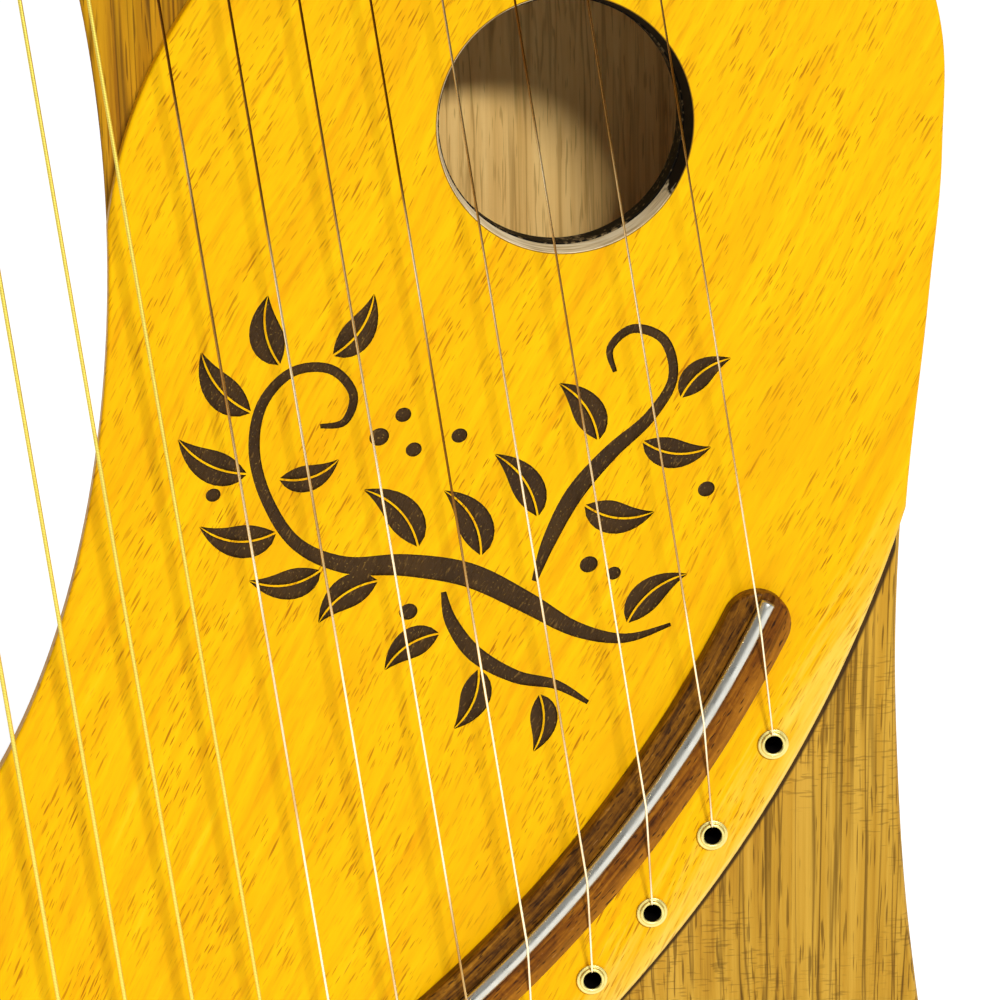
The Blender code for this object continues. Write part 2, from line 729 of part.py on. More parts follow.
def make_bridge():
    """A curved strip with round ends and a channel for the saddle rod."""
    middle = SADDLE_RADIUS + BRIDGE_OFFSET
    half = BRIDGE_WIDTH / 2
    inset = math.degrees((BRIDGE_OVERHANG - half) / middle)
    first = saddle_angle(0) + inset
    last = saddle_angle(STRING_COUNT - 1) - inset
    outline = arc(BRIDGE_CENTRE, middle + half, first, last, BRIDGE_STEPS)
    outline += arc(polar(BRIDGE_CENTRE, middle, last), half, last, last - 180.0, END_STEPS)[1:]
    outline += arc(BRIDGE_CENTRE, middle - half, last, first, BRIDGE_STEPS)[1:]
    outline += arc(polar(BRIDGE_CENTRE, middle, first), half, first + 180.0, first, END_STEPS)[1:-1]
    bridge = slab("bridge", outline, BRIDGE_TOP, BOARD_FRONT - GLUE, edge=STRIP_EDGE)
    channel = tube("cut_bridge_channel", saddle_path(BRIDGE_OVERHANG + MARGIN), ROD_RADIUS + GLUE)
    return finish(boolean(bridge, as_cutter(channel)), "rosewood")


def saddle_path(overhang):
    """Middle of the saddle rod, running overhang past the outer strings."""
    extra = math.degrees(overhang / SADDLE_RADIUS)
    flat = arc(BRIDGE_CENTRE, SADDLE_RADIUS, saddle_angle(0) + extra,
               saddle_angle(STRING_COUNT - 1) - extra, BRIDGE_STEPS)
    return [(x, ROD_AXIS, z) for x, z in flat]


def nut_path(overhang, steps):
    """Middle of the nut rod, running overhang past the outer strings."""
    first = nut_point(0) - nut_along() * overhang
    last = nut_point(STRING_COUNT - 1) + nut_along() * overhang
    return [(place.x, ROD_AXIS, place.y)
            for place in (first.lerp(last, i / steps) for i in range(steps + 1))]


def make_nut():
    """A straight strip with round ends and a channel for the nut rod."""
    half = NUT_WIDTH / 2
    first = nut_point(0) - nut_along() * (NUT_OVERHANG - half)
    last = nut_point(STRING_COUNT - 1) + nut_along() * (NUT_OVERHANG - half)
    square = 90.0 - NUT_SLOPE
    outline = arc(first, half, square, square - 180.0, END_STEPS)
    outline += arc(last, half, square + 180.0, square, END_STEPS)
    nut = slab("nut", outline, BRIDGE_TOP, FRONT - GLUE, edge=STRIP_EDGE)
    channel = tube("cut_nut_channel", nut_path(NUT_OVERHANG + MARGIN, 1), ROD_RADIUS + GLUE)
    return finish(boolean(nut, as_cutter(channel)), "rosewood")


def make_rods():
    saddle = tube("saddle_rod", saddle_path(ROD_OVERHANG), ROD_RADIUS, 2)
    nut = tube("nut_rod", nut_path(ROD_OVERHANG, 2), ROD_RADIUS, 2)
    return [finish(rod, "nickel", 60.0) for rod in (saddle, nut)]


def make_eyelets():
    """Rolled flange on the board and a barrel through it."""
    barrel = EYELET_BORE + EYELET_WALL
    profile = [
        (EYELET_BORE, -BOARD_THICK),
        (EYELET_BORE, EYELET_PROUD * 0.6),
        (EYELET_BORE + EYELET_WALL * 0.8, EYELET_PROUD),
        (EYELET_FLANGE - EYELET_WALL, EYELET_PROUD * 0.8),
        (EYELET_FLANGE, GLUE),
        (barrel, GLUE),
        (barrel, -BOARD_THICK),
        (EYELET_BORE, -BOARD_THICK),
    ]
    pattern = baked(turned("eyelet", profile, EYELET_STEPS, "brass"))
    made = []
    for i in range(STRING_COUNT):
        eyelet = add_mesh(f"eyelet_{i + 1:02d}", pattern.data)
        place = eyelet_point(i)
        eyelet.location = (place.x, BOARD_FRONT, place.y)
        eyelet.rotation_euler = (math.radians(90), 0.0, 0.0)
        made.append(finish(eyelet, "brass"))
    bpy.data.objects.remove(pattern)
    return made


def ball_height():
    """Y of the ball ends, which rest on the floor of their seats."""
    return BACK - BALL_SEAT_DEPTH + GLUE + BALL_RADIUS


def ball_end(index):
    """The small barrel in a string's looped end, which stops it at the back."""
    place = eyelet_point(index)
    bpy.ops.mesh.primitive_cylinder_add(vertices=BALL_STEPS, radius=BALL_RADIUS, depth=BALL_LENGTH)
    ball = bpy.context.active_object
    ball.name = f"ball_{index + 1:02d}"
    ball.location = (place.x, ball_height(), place.y)
    ball.rotation_euler = (0.0, math.radians(90), 0.0)
    return as_cutter(ball)


def pin_section(height):
    """Points round a tuning pin at a height above the wood: round below, squared above."""
    lowest = -PIN_DEPTH
    shoulder = PIN_SHAFT
    radius = PIN_RADIUS
    if height <= lowest:
        radius = PIN_RADIUS * 0.8
    square = PIN_RADIUS
    if height > shoulder:
        share = (height - shoulder) / PIN_HEAD
        square = (HEAD_WIDTH_LOW + (HEAD_WIDTH_TOP - HEAD_WIDTH_LOW) * share) / 2
    points = []
    for i in range(PIN_STEPS):
        angle = 2 * math.pi * (i + 0.5) / PIN_STEPS
        flat = square / max(abs(math.cos(angle)), abs(math.sin(angle)))
        reach = min(radius, flat) if height > shoulder else radius
        points.append((reach * math.cos(angle), reach * math.sin(angle), height))
    return points


def pin_mesh():
    """Loft a pin through its sections, then drill its eye."""
    heights = [-PIN_DEPTH, -PIN_DEPTH + PIN_RADIUS * 0.4, PIN_SHAFT,
               PIN_SHAFT + SHOULDER, PIN_SHAFT + PIN_HEAD]
    whole = loft("whole_pin", [pin_section(height) for height in heights])
    bpy.ops.mesh.primitive_cylinder_add(vertices=6, radius=EYE_RADIUS, depth=PIN_RADIUS * 4)
    eye = bpy.context.active_object
    eye.name = "cut_eye"
    eye.rotation_euler = (0.0, math.radians(90), 0.0)
    eye.location = (0.0, 0.0, EYE_HEIGHT)
    baked(boolean(whole, as_cutter(eye)))
    mesh = whole.data
    bpy.data.objects.remove(whole)
    return mesh


def make_pins():
    """Sixteen pins that share a mesh, each standing on its own axis at its own angle."""
    mesh = pin_mesh()
    made = []
    for i in range(STRING_COUNT):
        pin = add_mesh(f"pin_{i + 1:02d}", mesh)
        place = pin_point(i)
        up = string_up(i)
        lean = math.atan2(-up.x, up.y)
        turned_by = math.pi - lean - 2 * math.pi * coil_turns(i)
        pin.location = (place.x, FRONT, place.y)
        pin.rotation_euler = (Matrix.Rotation(math.radians(90), 4, "X")
                              @ Matrix.Rotation(-turned_by, 4, "Z")).to_euler()
        made.append(finish(pin, "nickel"))
    return made


def make_strings():
    """Each string is one unbroken wire, from its ball end to the last turn on its pin."""
    made = []
    gaps = []
    for i in range(STRING_COUNT):
        radius = string_radius(i)
        eyelet = eyelet_point(i)
        saddle = saddle_point(i)
        nut = nut_point(i)
        aside = (saddle - eyelet).normalized() * (EYELET_BORE - radius - RUNNING)
        foot = eyelet + aside
        crest = ROD_CREST - RUNNING - radius
        mouth = BOARD_FRONT - EYELET_PROUD - RUNNING - radius
        coil = coil_points(i)
        corners = [
            (foot.x, ball_height(), foot.y),
            (foot.x, mouth, foot.y),
            (saddle.x, crest, saddle.y),
            (nut.x, crest, nut.y),
            coil[0],
        ]
        route = rounded_route(corners, BEND_RADIUS)
        gaps.append(least_self_gap(coil, radius, COIL_STEPS // 2))
        wire = tube(f"string_{i + 1:02d}", route[:-1] + coil, radius)
        baked(boolean(wire, ball_end(i), "UNION"))
        made.append(finish(wire, "steel" if i < PLAIN_STRINGS else "bronze", 60.0))
    print(f"least gap between turns: {min(gaps) * 1000:.2f} mm")
    return made


def main():
    global parts, cutters
    for thing in list(bpy.data.objects):
        bpy.data.objects.remove(thing)
    parts = collection("lyre_harp")
    cutters = collection("cutters")
    cutters.hide_render = True
    bpy.context.view_layer.active_layer_collection = (
        bpy.context.view_layer.layer_collection.children["lyre_harp"])
    make_frame()
    make_back_plate()
    make_soundboard()
    make_hole_ring()
    make_braces()
    make_bridge()
    make_nut()
    make_rods()
    make_eyelets()
    make_pins()
    make_strings()


parts = None
cutters = None
main()
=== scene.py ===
import math

import bmesh
import bpy
from mathutils import Matrix, Vector


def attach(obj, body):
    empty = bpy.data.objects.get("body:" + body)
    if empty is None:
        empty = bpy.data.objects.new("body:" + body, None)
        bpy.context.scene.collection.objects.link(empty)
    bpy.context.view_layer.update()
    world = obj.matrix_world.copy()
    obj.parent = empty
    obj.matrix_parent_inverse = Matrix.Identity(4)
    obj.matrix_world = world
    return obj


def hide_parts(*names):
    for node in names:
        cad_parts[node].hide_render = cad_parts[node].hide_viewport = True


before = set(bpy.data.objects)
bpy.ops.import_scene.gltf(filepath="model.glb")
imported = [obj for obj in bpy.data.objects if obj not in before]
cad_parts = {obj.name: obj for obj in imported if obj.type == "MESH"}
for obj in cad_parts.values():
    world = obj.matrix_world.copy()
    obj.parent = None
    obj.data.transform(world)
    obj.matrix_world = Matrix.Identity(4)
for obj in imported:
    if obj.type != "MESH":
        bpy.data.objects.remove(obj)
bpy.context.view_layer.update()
scene = bpy.context.scene
scene.view_settings.view_transform = "Standard"
print("frame loaded:", len(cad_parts), "nodes")

# Where the flat faces lie, in metres from the middle of the body's depth
depth = {"front": -0.018, "back": 0.018, "glue": 0.0003, "board": -0.0223, "strip": -0.0254, "rodAxis": -0.0263}
# How far a cutter reaches past the face that it cuts
past = 0.001


# sRGB hex to the linear colour that a socket takes
def fromHex(code):
    channels = [int(code[i:i + 2], 16) / 255 for i in (1, 3, 5)]
    return [c / 12.92 if c <= 0.04045 else ((c + 0.055) / 1.055) ** 2.4 for c in channels] + [1.0]


# Adds a node with its options, and fills or links its inputs by name or number
def addNode(tree, kind, inputs=None, **options):
    node = tree.nodes.new(kind)
    for option, value in options.items():
        setattr(node, option, value)
    for key, value in (inputs or {}).items():
        if isinstance(value, bpy.types.Node):
            value = value.outputs[0]
        if isinstance(value, bpy.types.NodeSocket):
            tree.links.new(value, node.inputs[key])
        elif isinstance(value, str) and value.startswith("#"):
            node.inputs[key].default_value = fromHex(value)
        else:
            node.inputs[key].default_value = value
    return node


def calc(tree, operation, *values, clamp=False):
    return addNode(tree, "ShaderNodeMath", dict(enumerate(values)), operation=operation, use_clamp=clamp)


def vectorCalc(tree, operation, *values):
    return addNode(tree, "ShaderNodeVectorMath", dict(enumerate(values)), operation=operation)


# Takes the range from start to end onto the one from low to high, and holds it at both ends
def spread(tree, value, start, end, low=0.0, high=1.0, kind="LINEAR"):
    values = {0: value, 1: start, 2: end, 3: low, 4: high}
    return addNode(tree, "ShaderNodeMapRange", values, interpolation_type=kind)


# The same with soft ends
def ease(tree, value, start, end, low=0.0, high=1.0):
    return spread(tree, value, start, end, low, high, "SMOOTHSTEP")


# Colour ramp; each stop is (place, colour)
def ramp(tree, value, *stops):
    node = addNode(tree, "ShaderNodeValToRGB", {"Fac": value})
    elements = node.color_ramp.elements
    while len(elements) < len(stops):
        elements.new(0.5)
    for element, (place, code) in zip(elements, stops):
        element.position = place
        element.color = fromHex(code)
    return node.outputs[0]


# From the first colour to the second as the share goes from 0 to 1
def blend(tree, share, first, second, **options):
    return addNode(tree, "ShaderNodeMix", {0: share, 6: first, 7: second}, data_type="RGBA", **options).outputs[2]


def stretched(tree, place, scale):
    return addNode(tree, "ShaderNodeMapping", {"Vector": place, "Scale": scale})


# Noise; its cells are one over the scale in metres, and three scales make them longer one way
def noise(tree, place, scale, detail, roughness=0.5, distortion=0.0):
    if isinstance(scale, tuple):
        place, scale = stretched(tree, place, scale), 1.0
    values = {"Vector": place, "Scale": scale, "Detail": detail, "Roughness": roughness, "Distortion": distortion}
    return addNode(tree, "ShaderNodeTexNoise", values)


def objectPlace(tree):
    return addNode(tree, "ShaderNodeTexCoord").outputs["Object"]


def axes(tree, place):
    return addNode(tree, "ShaderNodeSeparateXYZ", {0: place}).outputs


# Bends the grain a little, so that it isn't ruled straight
def wavy(tree, place, scale, amounts):
    wander = noise(tree, place, scale, 1.0)
    bend = vectorCalc(tree, "SUBTRACT", wander.outputs["Color"], (0.5, 0.5, 0.5))
    return vectorCalc(tree, "MULTIPLY_ADD", bend, amounts, place)


# Distance from a point of the front, whatever the depth
def distanceFrom(tree, x, z, centre):
    flat = addNode(tree, "ShaderNodeCombineXYZ", {0: x, 2: z})
    return vectorCalc(tree, "DISTANCE", flat, (centre[0], 0.0, centre[1])).outputs["Value"]


def angleAbout(tree, x, z, centre):
    dx = calc(tree, "SUBTRACT", x, centre[0])
    dz = calc(tree, "SUBTRACT", z, centre[1])
    return calc(tree, "ARCTAN2", dz, dx)


def paint(tree, shader, colour):
    tree.links.new(colour, shader.inputs["Base Color"])


# Dents the surface by a pattern, as deep as this in metres
def dent(tree, shader, height, strength, deep, invert=False):
    values = {"Height": height, "Strength": strength, "Distance": deep}
    tree.links.new(addNode(tree, "ShaderNodeBump", values, invert=invert).outputs[0], shader.inputs["Normal"])


# A new material with only its shader and output
def startMaterial(name, roughness=0.5, specular=0.5, **values):
    material = bpy.data.materials.new(name)
    material.use_nodes = True
    tree = material.node_tree
    tree.nodes.clear()
    values.update({"Roughness": roughness, "Specular IOR Level": specular})
    shader = addNode(tree, "ShaderNodeBsdfPrincipled", values)
    addNode(tree, "ShaderNodeOutputMaterial", {"Surface": shader})
    return material, tree, shader


# Flat shapes, as (x, z) points

def polar(centre, radius, degrees):
    angle = math.radians(degrees)
    return (centre[0] + radius * math.cos(angle), centre[1] + radius * math.sin(angle))


def arcPoints(centre, radius, start, end, steps):
    return [polar(centre, radius, start + (end - start) * i / steps) for i in range(steps + 1)]


def ellipsePoints(centre, halfWidth, halfHeight, tilt, steps):
    lean = math.radians(tilt)
    points = []
    for i in range(steps):
        across = halfWidth * math.cos(2 * math.pi * i / steps)
        along = halfHeight * math.sin(2 * math.pi * i / steps)
        points.append((centre[0] + across * math.cos(lean) - along * math.sin(lean),
                       centre[1] + across * math.sin(lean) + along * math.cos(lean)))
    return points


# Moves a closed outline, listed anticlockwise, inwards along its normals
def insetOutline(outline, inset):
    moved = []
    for i, (x, z) in enumerate(outline):
        before = outline[i - 1]
        after = outline[(i + 1) % len(outline)]
        along = Vector((after[0] - before[0], after[1] - before[1])).normalized()
        moved.append((x - along.y * inset, z + along.x * inset))
    return moved


# (y, inset) levels of a slab from front to back, with its rims rounded
def roundedLevels(front, back, radius, steps=4, roundBack=True):
    quarter = [math.pi / 2 * i / steps for i in range(steps + 1)]
    rims = [(radius * (1 - math.sin(a)), radius * (1 - math.cos(a))) for a in quarter]
    levels = [(front + deep, inset) for deep, inset in reversed(rims)]
    return levels + ([(back - deep, inset) for deep, inset in rims] if roundBack else [(back, 0.0)])


def addObject(name, data):
    thing = bpy.data.objects.new(name, data)
    scene.collection.objects.link(thing)
    return thing


# Solid through rings that each have the same number of points; a looped one joins its last ring to its first
def loft(name, rings, material=None, looped=False):
    shape = bmesh.new()
    rows = [[shape.verts.new(point) for point in ring] for ring in rings]
    for low, high in zip(rows, rows[1:] + (rows[:1] if looped else [])):
        for i in range(len(low)):
            j = (i + 1) % len(low)
            shape.faces.new((low[i], low[j], high[j], high[i]))
    if not looped:
        shape.faces.new(rows[0][::-1])
        shape.faces.new(rows[-1])
    bmesh.ops.recalc_face_normals(shape, faces=shape.faces)
    mesh = bpy.data.meshes.new(name)
    shape.to_mesh(mesh)
    shape.free()
    if material:
        mesh.materials.append(material)
    return addObject(name, mesh)


# Slab whose outline may change with its depth
def slab(name, outlineAt, levels, material=None):
    return loft(name, [[(x, y, z) for x, z in outlineAt(inset)] for y, inset in levels], material)


# Slab of one outline all through
def plate(name, outline, front, back, material):
    return slab(name, lambda inset: outline, [(front, 0), (back, 0)], material)


# Plain mesh object at the origin, from an object with modifiers or a placing
def settle(source, name):
    bpy.context.view_layer.update()
    graph = bpy.context.evaluated_depsgraph_get()
    solved = source.evaluated_get(graph)
    mesh = bpy.data.meshes.new_from_object(solved, preserve_all_data_layers=True, depsgraph=graph)
    mesh.transform(source.matrix_world)
    bpy.data.objects.remove(source)
    mesh.name = name
    return addObject(name, mesh)


# Cuts, trims or joins, keeping each cutter's own material on the faces it makes
def combine(thing, others, operation="DIFFERENCE"):
    name = thing.name
    for other in others:
        modifier = thing.modifiers.new("with", "BOOLEAN")
        modifier.operation = operation
        modifier.solver = "EXACT"
        modifier.material_mode = "TRANSFER"
        modifier.object = other
    made = settle(thing, name)
    for other in others:
        bpy.data.objects.remove(other)
    made.name = name
    return made


# One object from several
def joined(name, things):
    shape = bmesh.new()
    for thing in things:
        shape.from_mesh(thing.data)
    mesh = bpy.data.meshes.new(name)
    shape.to_mesh(mesh)
    shape.free()
    for material in things[0].data.materials:
        mesh.materials.append(material)
    for thing in things:
        bpy.data.objects.remove(thing)
    return addObject(name, mesh)


# Smooth shading with crisp corners
def shadeBy(mesh, degrees):
    mesh.shade_smooth()
    mesh.set_sharp_from_angle(angle=math.radians(degrees))


# The same, with flat faces that stay flat beside rounded rims
def smoothed(thing, degrees=32):
    shadeBy(thing.data, degrees)
    weigh = thing.modifiers.new("flatFaces", "WEIGHTED_NORMAL")
    weigh.keep_sharp = True
    weigh.weight = 80
    return settle(thing, thing.name)


# Rings of a turned piece that stands along +Z, from a profile of (radius, height)
def turnedRings(profile, sides):
    return [[(radius * math.cos(2 * math.pi * i / sides), radius * math.sin(2 * math.pi * i / sides), height)
             for i in range(sides)] for radius, height in profile]


def turned(name, profile, sides, material=None):
    return loft(name, turnedRings(profile, sides), material)


# Places a solid that stands along +Z so that it stands out of the front
def faceFront(x, y, z):
    return Matrix.Translation((x, y, z)) @ Matrix.Rotation(math.radians(90), 4, "X")


# Places one so that it lies along X
def layAcross(x, y, z):
    return Matrix.Translation((x, y, z)) @ Matrix.Rotation(math.radians(90), 4, "Y")


def finishPiece(thing, body, *nodes, slot=None):
    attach(thing, body)
    if nodes:
        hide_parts(*nodes)
    print(thing.name, "done,", len(thing.data.polygons), "faces")


def aim(thing, direction):
    thing.rotation_euler = direction.to_track_quat("-Z", "Y").to_euler()


# Camera: a little above and left of the shown part, square on to the soundboard
camera = {"place": (-0.008, -0.5973, 0.324), "target": (0.077, -0.0223, 0.180), "lens": 137.3, "near": 0.01}
cameraData = bpy.data.cameras.new("camera")
cameraData.lens = camera["lens"]
cameraData.sensor_width = 36
cameraData.clip_start = camera["near"]
cameraObject = addObject("camera", cameraData)
cameraObject.location = camera["place"]
aim(cameraObject, Vector(camera["target"]) - Vector(camera["place"]))
scene.camera = cameraObject

# Light: one broad soft box above the camera, as wide as 14 degrees and as tall as 4.4, and a soft room
light = {"towards": (0.27, -1.0, 0.55), "away": 5.0, "wide": 1.23, "tall": 0.385, "watts": 194.0, "room": 0.33}
keyData = bpy.data.lights.new("softBox", "AREA")
keyData.shape = "RECTANGLE"
keyData.size = light["wide"]
keyData.size_y = light["tall"]
keyData.energy = light["watts"]
keyObject = addObject("softBox", keyData)
keyAim = Vector(light["towards"]).normalized()
keyObject.location = Vector(camera["target"]) + keyAim * light["away"]
aim(keyObject, -keyAim)

world = bpy.data.worlds.new("studio")
world.use_nodes = True
scene.world = world
tree = world.node_tree
tree.nodes.clear()
rays = addNode(tree, "ShaderNodeLightPath").outputs
seen = calc(tree, "MAXIMUM", rays["Is Camera Ray"], rays["Is Transmission Ray"])
# metal mirrors a room that is white low down, dark at eye level and grey overhead
height = axes(tree, addNode(tree, "ShaderNodeTexCoord").outputs["Generated"])[2]
rise = spread(tree, height, -0.5, 0.5)
walls = ramp(tree, rise, (0.16, "#ffffff"), (0.35, "#6c6c6c"), (0.62, "#7c7c7c"), (0.85, "#adadad"))
mirrored = {0: rays["Is Glossy Ray"], 2: light["room"], 3: walls}
strength = calc(tree, "MAXIMUM", addNode(tree, "ShaderNodeMix", mirrored, data_type="FLOAT"), seen)
background = addNode(tree, "ShaderNodeBackground", {"Color": "#ffffff", "Strength": strength})
addNode(tree, "ShaderNodeOutputWorld", {"Surface": background})

# Studio paper, which glows where it is looked at
sheet = {"half": 2.5, "front": -0.75, "back": 3.0, "bottom": -0.003, "top": -0.0004, "glow": 0.65}
corners = [(-sheet["half"], sheet["front"]), (sheet["half"], sheet["front"]),
           (sheet["half"], sheet["back"]), (-sheet["half"], sheet["back"])]
floor = loft("floor", [[(x, y, z) for x, y in corners] for z in (sheet["bottom"], sheet["top"])])
paper, tree, shader = startMaterial("studioPaper", 0.9, **{"Base Color": "#f6f6f6"})
rays = addNode(tree, "ShaderNodeLightPath").outputs
seen = calc(tree, "MAXIMUM", rays["Is Camera Ray"], rays["Is Glossy Ray"])
seen = calc(tree, "MAXIMUM", seen, rays["Is Transmission Ray"])
shader.inputs["Emission Color"].default_value = (1, 1, 1, 1)
tree.links.new(calc(tree, "MULTIPLY", seen, sheet["glow"]).outputs[0], shader.inputs["Emission Strength"])
floor.data.materials.append(paper)
print("camera and light done")


# One layer of pores: each cell of the pattern, wide by long in metres, holds a short dark dash along the grain,
# of its own length and strength
def addPores(tree, grain, offset, turn, wide, long, reach):
    turning = (math.radians(90), 0.0, math.radians(turn))
    moved = addNode(tree, "ShaderNodeMapping", {"Vector": grain, "Location": offset, "Rotation": turning})
    cells = {"Vector": stretched(tree, moved, (1 / wide, 1 / long, 1.0)), "Scale": 1.0, "Randomness": 1.0}
    dashes = addNode(tree, "ShaderNodeTexVoronoi", cells, voronoi_dimensions="2D").outputs
    own = addNode(tree, "ShaderNodeSeparateColor", {0: dashes["Color"]}).outputs
    size = spread(tree, own[0], 0.0, 1.0, reach * 0.35, reach)
    inside = ease(tree, calc(tree, "DIVIDE", dashes["Distance"], size), 1.0, 0.35)
    return calc(tree, "MULTIPLY", inside, spread(tree, own[1], 0.0, 1.0, 0.25, 1.0))


# The soundboard's grain rises at 61 degrees; this turns it upright
def boardGrain(tree, place):
    return addNode(tree, "ShaderNodeMapping", {"Vector": place, "Rotation": (0.0, math.radians(-29), 0.0)})


# Yellow-stained mahogany, brushed with lacquer and flatted: open pores hold the stain as short dark dashes
def makeStainedMahogany():
    material, tree, shader = startMaterial("stainedMahogany", 0.42, 0.10)
    place = objectPlace(tree)
    x, _, z = axes(tree, place)
    grain = boardGrain(tree, wavy(tree, place, 14.0, (0.012, 0.0, 0.012)))
    # pores about 0.3 mm wide and 1 to 4 mm long, in cells under a millimetre by five to nine
    first = addPores(tree, grain, (0.013, 0.021, 0.0), 1.5, 0.00078, 0.0090, 0.33)
    second = addPores(tree, grain, (0.071, 0.047, 0.0), -2.0, 0.00056, 0.0046, 0.34)
    both = calc(tree, "MAXIMUM", first, second)
    # they crowd together in drifts along the grain, 5 mm wide and 18 mm long
    crowd = noise(tree, grain, (190, 190, 55), 2.0, 0.6)
    poreMask = calc(tree, "MULTIPLY", both, ease(tree, crowd, 0.40, 0.62, 0.28, 1.0))
    # soft streaks along the grain, 1 to 3 mm apart, and cloudy patches 2 cm wide and 4 cm long
    streaks = noise(tree, grain, (700, 700, 45), 3.0, 0.6)
    clouds = noise(tree, grain, (60, 60, 24), 3.0, 0.6)
    base = ramp(tree, streaks, (0.28, "#efa900"), (0.45, "#f8ba00"), (0.60, "#fdc200"), (0.80, "#ffcc06"))
    warm = blend(tree, ease(tree, clouds, 0.48, 0.70, 0.0, 0.45), base, "#eca800")
    # the belly's lower edge was sanded through the stain: pale wood shows in streaks, and as a thin cream rim
    reach = distanceFrom(tree, x, z, leaf["belly"])
    nearEdge = spread(tree, reach, 0.202, leaf["bellyRadius"], -0.55, 0.65)
    paleStreak = spread(tree, streaks, 0.35, 0.70, -0.35, 0.60)
    sanded = calc(tree, "MULTIPLY", calc(tree, "ADD", nearEdge, paleStreak, clamp=True), 0.34)
    rim = ease(tree, reach, 0.2116, 0.2121, 0.0, 0.55)
    paleMask = calc(tree, "MULTIPLY", calc(tree, "MAXIMUM", sanded, rim), ease(tree, z, 0.185, 0.150))
    pale = blend(tree, paleMask, warm, "#fbe488")
    poreColour = blend(tree, crowd, "#c88200", "#984e00")
    colour = blend(tree, calc(tree, "MULTIPLY", poreMask, 0.9), pale, poreColour)
    # stain gathers as a thin dark line round the sound hole
    fromHole = distanceFrom(tree, x, z, hole["centre"])
    rimLine = ease(tree, fromHole, hole["radius"] + 0.00034, hole["radius"] + 0.00016, 0.0, 0.85)
    paint(tree, shader, blend(tree, rimLine, colour, "#5a3a10"))
    dent(tree, shader, poreMask, 0.25, 0.00008, invert=True)
    return material


# Walnut, planed and oiled: upright grain with long thin dark lines, long pores and fine cracks along the cross rays
def makeOiledWalnut(name, light, middle, dark, line, rays, jointShade=0.0):
    material, tree, shader = startMaterial(name, 0.48, 0.14)
    place = objectPlace(tree)
    x, y, z = axes(tree, place)
    bent = wavy(tree, place, 9.0, (0.010, 0.010, 0.0))
    # growth 1 to 3 mm apart, running on for 5 to 10 cm, and bands 7 mm wide
    growth = noise(tree, bent, (640, 640, 11), 4.0, 0.62)
    broad = noise(tree, bent, (150, 150, 5), 2.0)
    tone = calc(tree, "MULTIPLY_ADD", broad, 0.35, calc(tree, "MULTIPLY", growth, 0.65))
    base = ramp(tree, tone, (0.36, dark), (0.46, middle), (0.60, light), (0.72, middle))
    # thin dark lines 2 to 4 mm apart, that run on along the grain: where a slow noise crosses its middle value
    ridge = noise(tree, bent, (420, 420, 7), 2.0)
    off = calc(tree, "ABSOLUTE", calc(tree, "SUBTRACT", ridge, 0.5))
    broken = spread(tree, growth, 0.36, 0.62, 1.0, 0.4)
    lineMask = calc(tree, "MULTIPLY", ease(tree, off, 0.045, 0.0), broken)
    # pores: 0.15 mm wide, 3 to 12 mm long
    pores = noise(tree, bent, (2400, 2400, 120), 1.0, 0.4)
    darkMask = calc(tree, "MAXIMUM", ease(tree, pores, 0.60, 0.70, 0.0, 0.7), lineMask)
    colour = blend(tree, darkMask, base, line)
    # rays: short fine cracks across the grain, 2 mm long, in patches and mostly low down
    ticks = noise(tree, place, (420, 420, 3000), 1.0, 0.4)
    patches = noise(tree, place, 38.0, 1.0)
    tickMask = ease(tree, ticks, 0.58, 0.68, 0.0, rays)
    for mask in (ease(tree, patches, 0.48, 0.60), spread(tree, z, 0.24, 0.11, 0.25, 1.0)):
        tickMask = calc(tree, "MULTIPLY", tickMask, mask)
    colour = blend(tree, tickMask, colour, line)
    if jointShade:
        # the oil has darkened to orange high up
        orange = blend(tree, 1.0, colour, "#fff04c", blend_type="MULTIPLY")
        colour = blend(tree, spread(tree, z, 0.13, 0.25), colour, orange)
        # painted shade: a dark line on the front beside the soundboard's edge, where the raised board shades the
        # frame, partly stain gathered where the edge was stained in place
        reach, edge = distanceFrom(tree, x, z, leaf["belly"]), leaf["bellyRadius"]
        paintedEdgeShade = ease(tree, reach, edge + 0.0023, edge + 0.0018, 0.0, jointShade)
        for operation, value, limit in (("GREATER_THAN", reach, edge - 0.0004), ("LESS_THAN", y, -0.0178),
                                        ("GREATER_THAN", x, -0.098), ("LESS_THAN", z, 0.235)):
            paintedEdgeShade = calc(tree, "MULTIPLY", paintedEdgeShade, calc(tree, operation, value, limit))
        colour = blend(tree, paintedEdgeShade, colour, "#342008")
    paint(tree, shader, colour)
    dent(tree, shader, darkMask, 0.3, 0.0001, invert=True)
    return material


